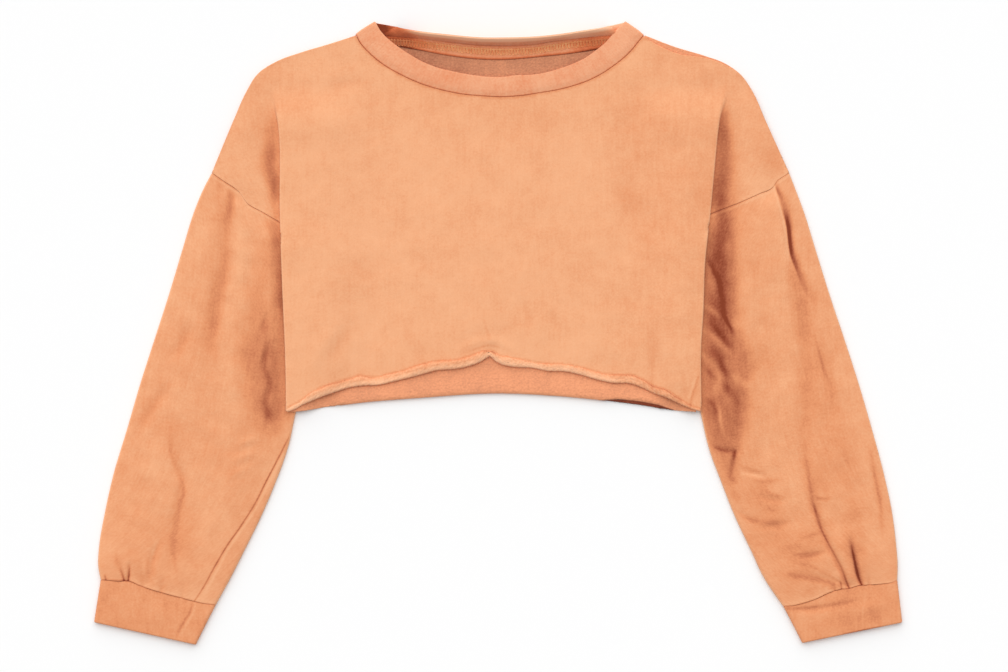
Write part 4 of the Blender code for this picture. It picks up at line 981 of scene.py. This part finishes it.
def sleeve_cloth(name, sections, folds, shades, body_edge, armhole, cuff_seam, side):
    """A full sleeve, pressed flat: a tube of flattened rings with its folds on the upper layer."""
    table = curve(sections, 2.2)
    near_end = np.array([0.08, 0.22, 0.5])[:, None]
    head_rows = table[0] + near_end * (table[1] - table[0])
    cuff_rows = table[-1] + near_end[::-1] * (table[-2] - table[-1])
    table = np.vstack([table[:1], head_rows, table[1:-1], cuff_rows, table[-1:]])
    gone = run_length(*np.diff((table[:, :2] + table[:, 2:4]) / 2, axis=0).T)
    head, low = table[0], CLOTH / 2
    rings, pattern, shade_and_tone, half = [], [], [], []
    for k, (*ends, rise) in enumerate(table):
        down_share, from_end = gone[k] / gone[-1], min(gone[k], gone[-1] - gone[k])
        at_head, at_cuff = 1 - ramp(down_share, 0.0, 0.12), ramp(down_share, 0.8, 1.0)
        outer, inner = np.array(ends).reshape(2, 2) - (0.0, 1.1 * SEAM * (k == len(table) - 1))
        run = (inner - outer) / np.hypot(*(inner - outer))
        outer, inner = outer + run * CLOTH / 2, inner - run * CLOTH / 2
        width = float(np.hypot(*(inner - outer)))
        rest = SLEEVE_REST + CUFF_STEP * at_cuff

        def at(distance):
            share = distance / width
            x, y = outer[0] + run[0] * distance, outer[1] + run[1] * distance
            first_y = head[1] + (head[3] - head[1]) * share
            to_seam = armhole(head[0] + (head[2] - head[0]) * share) + 2 * SEAM - first_y
            return share, x, y + to_seam * at_head + cuff_seam(share) * at_cuff

        ring, share, on_top = flat_ring(at, width, low, (rest - low) / 2, *SLEEVE_POINTS)
        x, y, _ = ring[on_top].T
        share = share[on_top]
        beside = ramp(side * (x - body_edge(y)), 1, 14)
        clear = np.where(y < 408, beside, np.maximum(beside, ramp(y, 400, 430)))
        round_off = np.minimum(1.0, np.maximum(4 * share * (1 - share), 0) ** 0.7 * 1.15)
        limp = 0.22 * unevenness(x, y, seed=20 + side, longest=90, shortest=20)
        shown = (rise + relief(folds, x, y) + limp) * round_off
        ring[on_top, 2] = np.maximum(rest + shown * ramp(down_share, 0.0, 0.03) * clear, SLEEVE_REST - 0.25)
        rings.append(ring)
        hidden = under_fold(ring[:, 0], ring[:, 1]) * (ring[:, 2] > low)
        end_half = rounded(from_end, CLOTH, SEWN)
        half.append(end_half + (CLOTH / 2 - end_half) * hidden)
        # Painted shade in the seam line at each end with a painted highlight beside it, or painted light
        # where the seam lies hidden under the small fold.
        seam_light_and_shade = 0.11 * bell(from_end - 2.2, 1.0) - 0.07 * bell(from_end, 0.8)
        dye_and_shade = np.full(len(ring), 0.02)
        dye_and_shade[on_top] = painted_fold_shade(folds, shades, x, y) - 0.08
        dye_and_shade[on_top] += seam_light_and_shade + (0.25 * bell(from_end, 1.0) - seam_light_and_shade) * hidden[on_top]
        shade_and_tone.append(dye_and_shade)
        round_way = run_length(*np.diff(ring[:, :2], axis=0).T)
        pattern.append(cols(round_way, np.full(len(ring), gone[k])))
    return tube(name, rings, half, terry_loops, pattern, shade_and_tone)


def seam_wander(points):
    line = curve(np.array(points) * (100, 1), 1.0)
    return lambda share: np.interp(share * 100, line[:, 0], line[:, 1])


cuff_seam_l, cuff_seam_r = seam_wander(CUFF_SEAM_L), seam_wander(CUFF_SEAM_R)
for name, side, area, *shape in (
    ("sleeve_left", -1, 0.1155, SLEEVE_L, SLEEVE_FOLDS_L, SLEEVE_SHADE_L, fold_l, armhole_l, cuff_seam_l),
    ("sleeve_right", 1, 0.1177, SLEEVE_R, SLEEVE_FOLDS_R, SLEEVE_SHADE_R, fold_r, armhole_r, cuff_seam_r),
):
    sleeve = sleeve_cloth(name + "_cloth", *shape, side)
    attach(sleeve, "root")
    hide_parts(name)

# ---- Cuffs ----
# Two straight bands of the same terry, doubled, folded at their lower edge and closed to a ring.
# Each is sewn to the end of its sleeve, which it gathers a little.

BAND, CUFF_DEEP = 2.7, 44.0
CUFF_POINTS = 36, 84
CUFF_L = [(101,579.5), (216,603.5), (94.3,622), (196,644.5)]
CUFF_R = [(897,580), (783,604.5), (902,622.2), (802,642.7)]
CUFF_FOLDS_L = [
    [(150,600,0,7), (158,615,0.4,8), (150,632,0,7)],
]
CUFF_FOLDS_R = [
    [(788,609), (808,609,-0.7,3.5), (830,606,-0.6), (870,598,0,4)],
    [(850,615), (872,606,0.5,5), (890,604)],
]
# Painted shade and painted highlight on each cuff's upper layer, in hundredths of the dye's range.
CUFF_SHADE_L = [
    [(193,603,-5,1.4), (190,612,-14), (184,622), (179,630,-12), (176,638,-4)],
    [(196,603,5,1.4), (193,613,10), (187,624), (181,634,6)],
]
CUFF_SHADE_R = [
    [(784,608,-10,1.4), (800,608,-14,1.5), (822,605.5,-10,1.6), (845,602,-8,1.8), (868,596)],
    [(866,606,0,6), (873,616,-8,7), (880,626,0,6)],
    [(843,634,-10,1.2), (860,630.5,-24,1.3), (880,626.5,-10,1.2)],
]


def cuff_cloth(name, corners, folds, shades, seam):
    """A doubled band, pressed flat: a tube of flattened rings from its seam to its folded edge."""
    seam_out, seam_in, low_out, low_in = (np.array(p, float) for p in corners)
    near_fold = CUFF_DEEP - np.array([2.4, 1.6, 0.9, 0.4, 0.1, 0.0])
    bend, low = (BAND + SEAM) / 2, BAND / 2
    rings, half, shade_and_tone = [], [], []
    for down in np.concatenate([[0.0, 0.15, 0.5, 1.0, 1.6], np.linspace(2.4, 40.0, 24), near_fold]):
        share = down / CUFF_DEEP
        outer, inner = seam_out + (low_out - seam_out) * share, seam_in + (low_in - seam_in) * share
        run = (inner - outer) / np.hypot(*(inner - outer))
        outer, inner = outer + run * BAND / 2, inner - run * BAND / 2
        width = float(np.hypot(*(inner - outer)))

        def at(distance):
            s = distance / width
            wander = seam(s) * (1 - share) ** 2
            return s, outer[0] + run[0] * distance, outer[1] + run[1] * distance + wander

        ring, s, on_top = flat_ring(at, width, low, bend, *CUFF_POINTS)
        x, y, _ = ring[on_top].T
        round_off = np.maximum(s * (1 - s), 0)[on_top]
        crown = 0.5 * math.sin(math.pi * share) * np.minimum(1.0, 6 * round_off)
        ring[on_top, 2] += crown + relief(folds, x, y) * np.minimum(1.0, 9 * round_off)
        rings.append(ring)
        closing = rounded(down, BAND, SEWN) if share < 0.5 else rounded(CUFF_DEEP - down, BAND)
        half.append(np.full(len(ring), closing))
        # Darker overall, with painted shade in the seam line and the painted shade and highlight of the
        # folds and shades on top.
        dye_and_shade = np.full(len(ring), -0.15 - 0.12 * bell(down, 0.8))
        dye_and_shade[on_top] += painted_fold_shade(folds, shades, x, y)
        shade_and_tone.append(dye_and_shade)
    return tube(name, rings, half, terry_face, [ring[:, :2] for ring in rings], shade_and_tone)


for name, *shape in (
    ("cuff_left", CUFF_L, CUFF_FOLDS_L, CUFF_SHADE_L, cuff_seam_l),
    ("cuff_right", CUFF_R, CUFF_FOLDS_R, CUFF_SHADE_R, cuff_seam_r),
):
    cuff = cuff_cloth(name + "_band", *shape)
    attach(cuff, "root")
    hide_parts(name)

# ---- Neckband ----
# A strip of the same terry, doubled and sewn to the neck as a ring. Its front half lies flat, and
# its back half stands and leans back behind it.

BAND_WIDTH, BAND_CUT, BAND_FRONT_REST, NECK_BAND = 18.5, 20.0, 3.3, 2.0
CORNER_X, CORNER_Y = 0.57, 0.82  # which way the band's bends point at the shoulders
BAND_FREE_FRONT = [
    (375,21.5), (380,30), (385,36), (390,40.5), (400,48), (410,54.5), (420,60.5), (430,65), (440,68.5),
    (450,70.8), (460,73), (475,75.5), (490,77), (505,77), (514,75.5), (530,75), (545,72.8), (560,68.5),
    (575,63), (585,58), (595,51), (605,43), (612,35), (618,28), (625,21.5),
]
BAND_FREE_BACK = [
    (375,21.5), (390,24.5), (405,28.5), (420,32), (450,35.5), (480,38), (510,38), (540,37), (558,35.3),
    (572,33.2), (586,30.6), (600,27.4), (614,23.8), (625,21),
]
FRONT_RINGS, BACK_RINGS = 130, 110
# Shares of the way across the band, closer together at its two edges.
ACROSS = np.concatenate([
    [0.0, 0.02, 0.05, 0.09], np.linspace(0.14, 0.86, 12), [0.91, 0.95, 0.975, 0.99, 1.0],
])

# The neckband's terry: the same cloth pulled straight along the band, its face outside on both
# layers, a little redder and more even. Its deeper shades are redder still: painted shade for the
# band's inside, where the cloth throws red light back on itself.
terry_band = washed_terry(
    "washed_terry_band", ("#7c3318", "#a64f2c", "#cd6d44", "#dd8257", "#e9a47c", "#f6c19c"), False, 0.20
)


def along(points, share):
    """The place at a share of an edge's length."""
    line = curve(points, 0.5)
    return np.array([np.interp(share * (len(line) - 1), np.arange(len(line)), line[:, k]) for k in (0, 1)])


def creased(share, far):
    """The shift that makes room for the bend where the band turns back at the shoulders."""
    left, right = 1 - ramp(share, 0.0, far), ramp(share, 1.0 - far, 1.0)
    bend = NECK_BAND + SEAM / 2
    dx = (left - right) * CORNER_X * bend * (0.4 + 0.6 * ACROSS)
    return cols(dx, (left + right) * CORNER_Y * bend * (0.3 + 0.7 * ACROSS), 0 * dx)


def band_front(share):
    """The band across at a share of the front's neck, lying flat."""
    seam, free = along(NECK_FRONT, share), along(BAND_FREE_FRONT, share)
    z = BAND_FRONT_REST + (NECK_BAND * 1.5 + SEAM - BAND_FRONT_REST) * (2 * share - 1) ** 2
    z = z - 0.35 * (1 - ramp(ACROSS, 0.0, 0.3)) + 0.5 * np.sin(math.pi * ACROSS)
    x, y = (seam[k] + (free[k] - seam[k]) * (SEAM / 22 + ACROSS * (1 - SEAM / 22)) for k in (0, 1))
    return cols(x, y, z) + creased(share, 0.06)


def band_back(share):
    """The band across at a share of the back's neck, standing up and leaning back."""
    seam, free = along(NECK_BACK, share), along(BAND_FREE_BACK, share)
    room = float(np.hypot(*(free - seam)))
    lean = math.acos(min(1.0, (room - 1.0) / BAND_WIDTH)) if room < BAND_WIDTH else 0.0
    s = (np.arange(60) + 0.5) / 60
    angle = lean * ramp(s, -0.03, 0.15) * (1 - 0.3 * ramp(s, 0.65, 1.0))
    reach, rise = (np.concatenate([[0.0], np.cumsum(part)]) / 60 for part in (np.cos(angle), np.sin(angle)))
    reach_at, rise_at = (np.interp(ACROSS, np.linspace(0, 1, 61), v) for v in (reach, rise))
    way = (free - seam) / room
    out = 0.2 + reach_at / reach[-1] * (room - 0.2 - NECK_BAND / 2 * math.sin(lean))
    x, y = seam[:, None] + way[:, None] * out
    return cols(x, y, NECK_BAND / 2 + rise_at * BAND_WIDTH) + creased(share, 0.22)


def band_turn(one, two, outward):
    """The bend from one ring to another that lies over it."""
    made = []
    middle, rise = (one + two) / 2, two[:, 2] - one[:, 2]
    bend, up = abs(rise) / 2, np.where(rise > 0, 1, -1)
    for a in np.radians([-70, -45, -22, 0, 22, 45, 70]):
        out = bend * math.cos(a)
        made.append(middle + cols(outward * CORNER_X * out, -CORNER_Y * out, up * bend * math.sin(a)))
    return made


rings_front = [band_front(s) for s in np.linspace(0, 1, FRONT_RINGS)]
rings_back = [band_back(s) for s in np.linspace(1, 0, BACK_RINGS)]
rings = rings_front + band_turn(rings_front[-1], rings_back[0], 1)
rings += rings_back + band_turn(rings_back[-1], rings_front[0], -1)
middle, count, wide = np.vstack(rings), len(rings), len(ACROSS)
from_seam = ACROSS * BAND_CUT
half = np.minimum(rounded(from_seam, NECK_BAND, SEWN), rounded((1 - ACROSS) * BAND_CUT, NECK_BAND))
half = np.tile(np.minimum(half, 0.75 + 0.25 * ramp(ACROSS, 0.0, 0.3)), count)
pattern = cols(np.repeat(np.arange(count) * 2.4, wide), np.tile(from_seam, count))
# Painted shade outside, deeper in the seam and near the band's left end. Inside the back, painted
# light over the face, and painted shade towards the seam and the ends, where the band shades itself.
outside = np.tile(-0.02 - 0.22 * bell(from_seam, 0.9), (count, 1))
within = np.zeros((count, wide))
behind = slice(len(rings_front), count)
end_share = np.linspace(-1, 1, count - len(rings_front))[:, None] ** 2
seam_side = 1 - ramp(ACROSS[None, :], 0.5 + 0.2 * end_share, 0.78 + 0.2 * end_share)
x = middle[:, 0].reshape(count, wide)[behind]
band_end_shade = 0.85 * ramp(x, 432, 396) + 0.35 * ramp(x, 592, 618)
within[behind] = 0.5 - (0.54 - 0.3 * bell(x - 577, 13)) * seam_side - band_end_shade * (1 - 0.65 * seam_side)
within[behind] -= 0.25 * ramp(x, 397, 384)
outside[behind] -= 0.6 * bell(x - 400, 14)
neckband = cloth(
    "neckband_cloth", middle, grid(count, wide, round_rows=True), half, terry_band, terry_band,
    pattern, (outside.ravel(), within.ravel()),
)
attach(neckband, "root")
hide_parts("neckband")

# ---- Neck seam allowance ----
# The allowance of the back's neck seam: the trimmed edges of the back and of the band's two layers,
# overlocked together. It lies down inside the back, below the band.

STRIP = 0.8
STRIP_EDGE = [
    (383,42), (395,45.5), (405,48), (420,50.5), (440,54.5), (460,57.5), (480,59.5), (500,60), (520,59),
    (531,58), (540,57), (560,55), (580,52.5), (597,49.5), (617,43),
]
neck_seam = edge(NECK_BACK)


def strip_top(x):
    """Middle of the strip, whose free side lifts a little in places."""
    return CLOTH + 0.1 + STRIP / 2 + 0.15 * np.sin(x / 9.0) * np.sin(x / 31.0)


free = curve(STRIP_EDGE, 1.5)
seam_y = neck_seam(free[:, 0]) - 0.5
shares = np.array([0.0, 0.04, 0.09, 0.14, 0.2, 0.3, 0.4, 0.55, 0.7, 0.82, 0.9, 0.96, 1.0])
across = np.tile(shares, len(free))
x, deep = np.repeat(free[:, 0], len(shares)), np.repeat(free[:, 1] - seam_y, len(shares))
y = np.repeat(seam_y, len(shares)) + deep * across
z = strip_top(x) + 0.2 * np.sin(across * math.pi)
# Painted shade: deeper towards the ends, in the shade of the band's ends, and along both edges;
# also deeper down the middle.
shade_and_tone = -0.02 - 0.38 * ramp(500 - x, 66, 104) - 0.22 * ramp(x - 500, 60, 100) - 0.12 * bell(across, 0.1)
shade_and_tone -= 0.3 * ramp(across, 0.82, 0.97) + 0.08 * ramp(across, 0.6, 0.75) + 0.18 * bell(across - 0.4, 0.2)
half = rounded(deep * np.minimum(across, 1 - across), STRIP)
faces = grid(len(free), len(shares))
strip = cloth("neck_strip", cols(x, y, z), faces, half, terry_band, terry_band, cols(x, y), shade_and_tone)
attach(strip, "root")
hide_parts("neck_allowance")

# ---- Overlock stitches ----
# Three spun polyester threads that bind the allowance, dyed with the garment to a more golden shade.
# Each stitch crosses the strip once down and once back, about 3 mm apart.

PITCH, THREAD, SIDES = 3.0, 0.5, 5
STITCH_FROM, STITCH_TO = 386, 614


def sewing_thread(name, path, material):
    """A round thread along a path, with closed ends."""
    world = on_board(path)
    way = np.gradient(world, axis=0)
    way /= np.linalg.norm(way, axis=1)[:, None]
    side = np.cross(way, (0.0, 0.0, 1.0))
    side /= np.linalg.norm(side, axis=1)[:, None]
    turn = (np.arange(SIDES) * math.tau / SIDES)[None, :, None]
    round_it = np.cos(turn) * side[:, None] + np.sin(turn) * np.cross(side, way)[:, None]
    rings = world[:, None] + THREAD * MM * round_it
    faces = np.roll(grid(len(path), SIDES, round_wide=True)[:, ::-1], 1, axis=1).tolist()
    faces += [list(range(SIDES)), [(len(path) - 1) * SIDES + k for k in reversed(range(SIDES))]]
    return smooth_object(name, rings.reshape(-1, 3), faces, material)


# Spun polyester sewing thread, plied from short fibres, which leaves it matt and a little hairy. It
# takes the cotton's dye weakly, so it is lighter and more golden than the cloth.
spun_thread, tree, shader = new_material("spun_polyester_thread")
place = node(tree, "ShaderNodeTexCoord").outputs["Object"]
sideways = {"Vector": place, "Location": (-0.006, 0.0, 0.0), "Scale": (1.0, 0.0, 0.0)}
sideways = node(tree, "ShaderNodeMapping", sideways).outputs[0]
# Painted shade: the thread is darker towards both ends of the row, where the band's ends shade it.
from_middle = node(tree, "ShaderNodeVectorMath", {0: sideways}, operation="LENGTH").outputs["Value"]
thread_end_shade = {"Value": from_middle, "From Min": 0.062, "From Max": 0.106, "To Min": 0.55, "To Max": 0.0}
thread_end_shade = node(tree, "ShaderNodeMapRange", thread_end_shade).outputs[0]
fade_and_shade = uneven(tree, thread_end_shade, (place, 4, 2.0, 0.5))
stops = (0.0, "#a9603a"), (0.6, "#de844c"), (1.0, "#fdc084")
ply = {"Height": uneven(tree, 0.0, (place, 0.7, 2.0, 1.0)), "Distance": 0.2 * MM}
feed(tree, shader, {
    "Base Color": node(tree, "ShaderNodeValToRGB", {"Fac": fade_and_shade}, stops).outputs["Color"],
    "Normal": node(tree, "ShaderNodeBump", ply).outputs["Normal"], "Roughness": 0.75, "Sheen Weight": 0.1,
})

stitches, chance = [], np.random.default_rng(5)
for k in range(int((STITCH_TO - STITCH_FROM) / PITCH)):
    x = STITCH_FROM + PITCH * k
    slip = chance.uniform(-0.4, 0.4, 3)
    top, foot = float(neck_seam(x)) + 2.4 + slip[0], float(neck_seam(x)) + 8.2 + slip[1]
    half_way = (top + foot) / 2
    stitches += [
        (x, top), (x + 0.3 + 0.5 * slip[2], half_way), (x + 0.6, foot), (x + 1.5, foot + 0.5),
        (x + 2.2, half_way), (x + 2.6, top),
    ]
x, y = np.array(stitches).T
share = np.clip((y - neck_seam(x) + 0.5) / 14.3, 0, 1)
z = strip_top(x) + 0.2 * np.sin(share * math.pi) + STRIP / 2 + 0.25 * THREAD
overlock = sewing_thread("overlock_stitches", curve(cols(x, y, z), 0.7), spun_thread)
x = np.arange(STITCH_FROM, STITCH_TO, 1.5)
y = neck_seam(x) + 3.2 + 0.12 * np.sin(x * math.tau / PITCH)
row = cols(x, y, strip_top(x) + 0.1 + STRIP / 2 + 0.5 * THREAD)
needle_row = sewing_thread("overlock_needle_row", row, spun_thread)
for thread in (overlock, needle_row):
    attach(thread, "root")
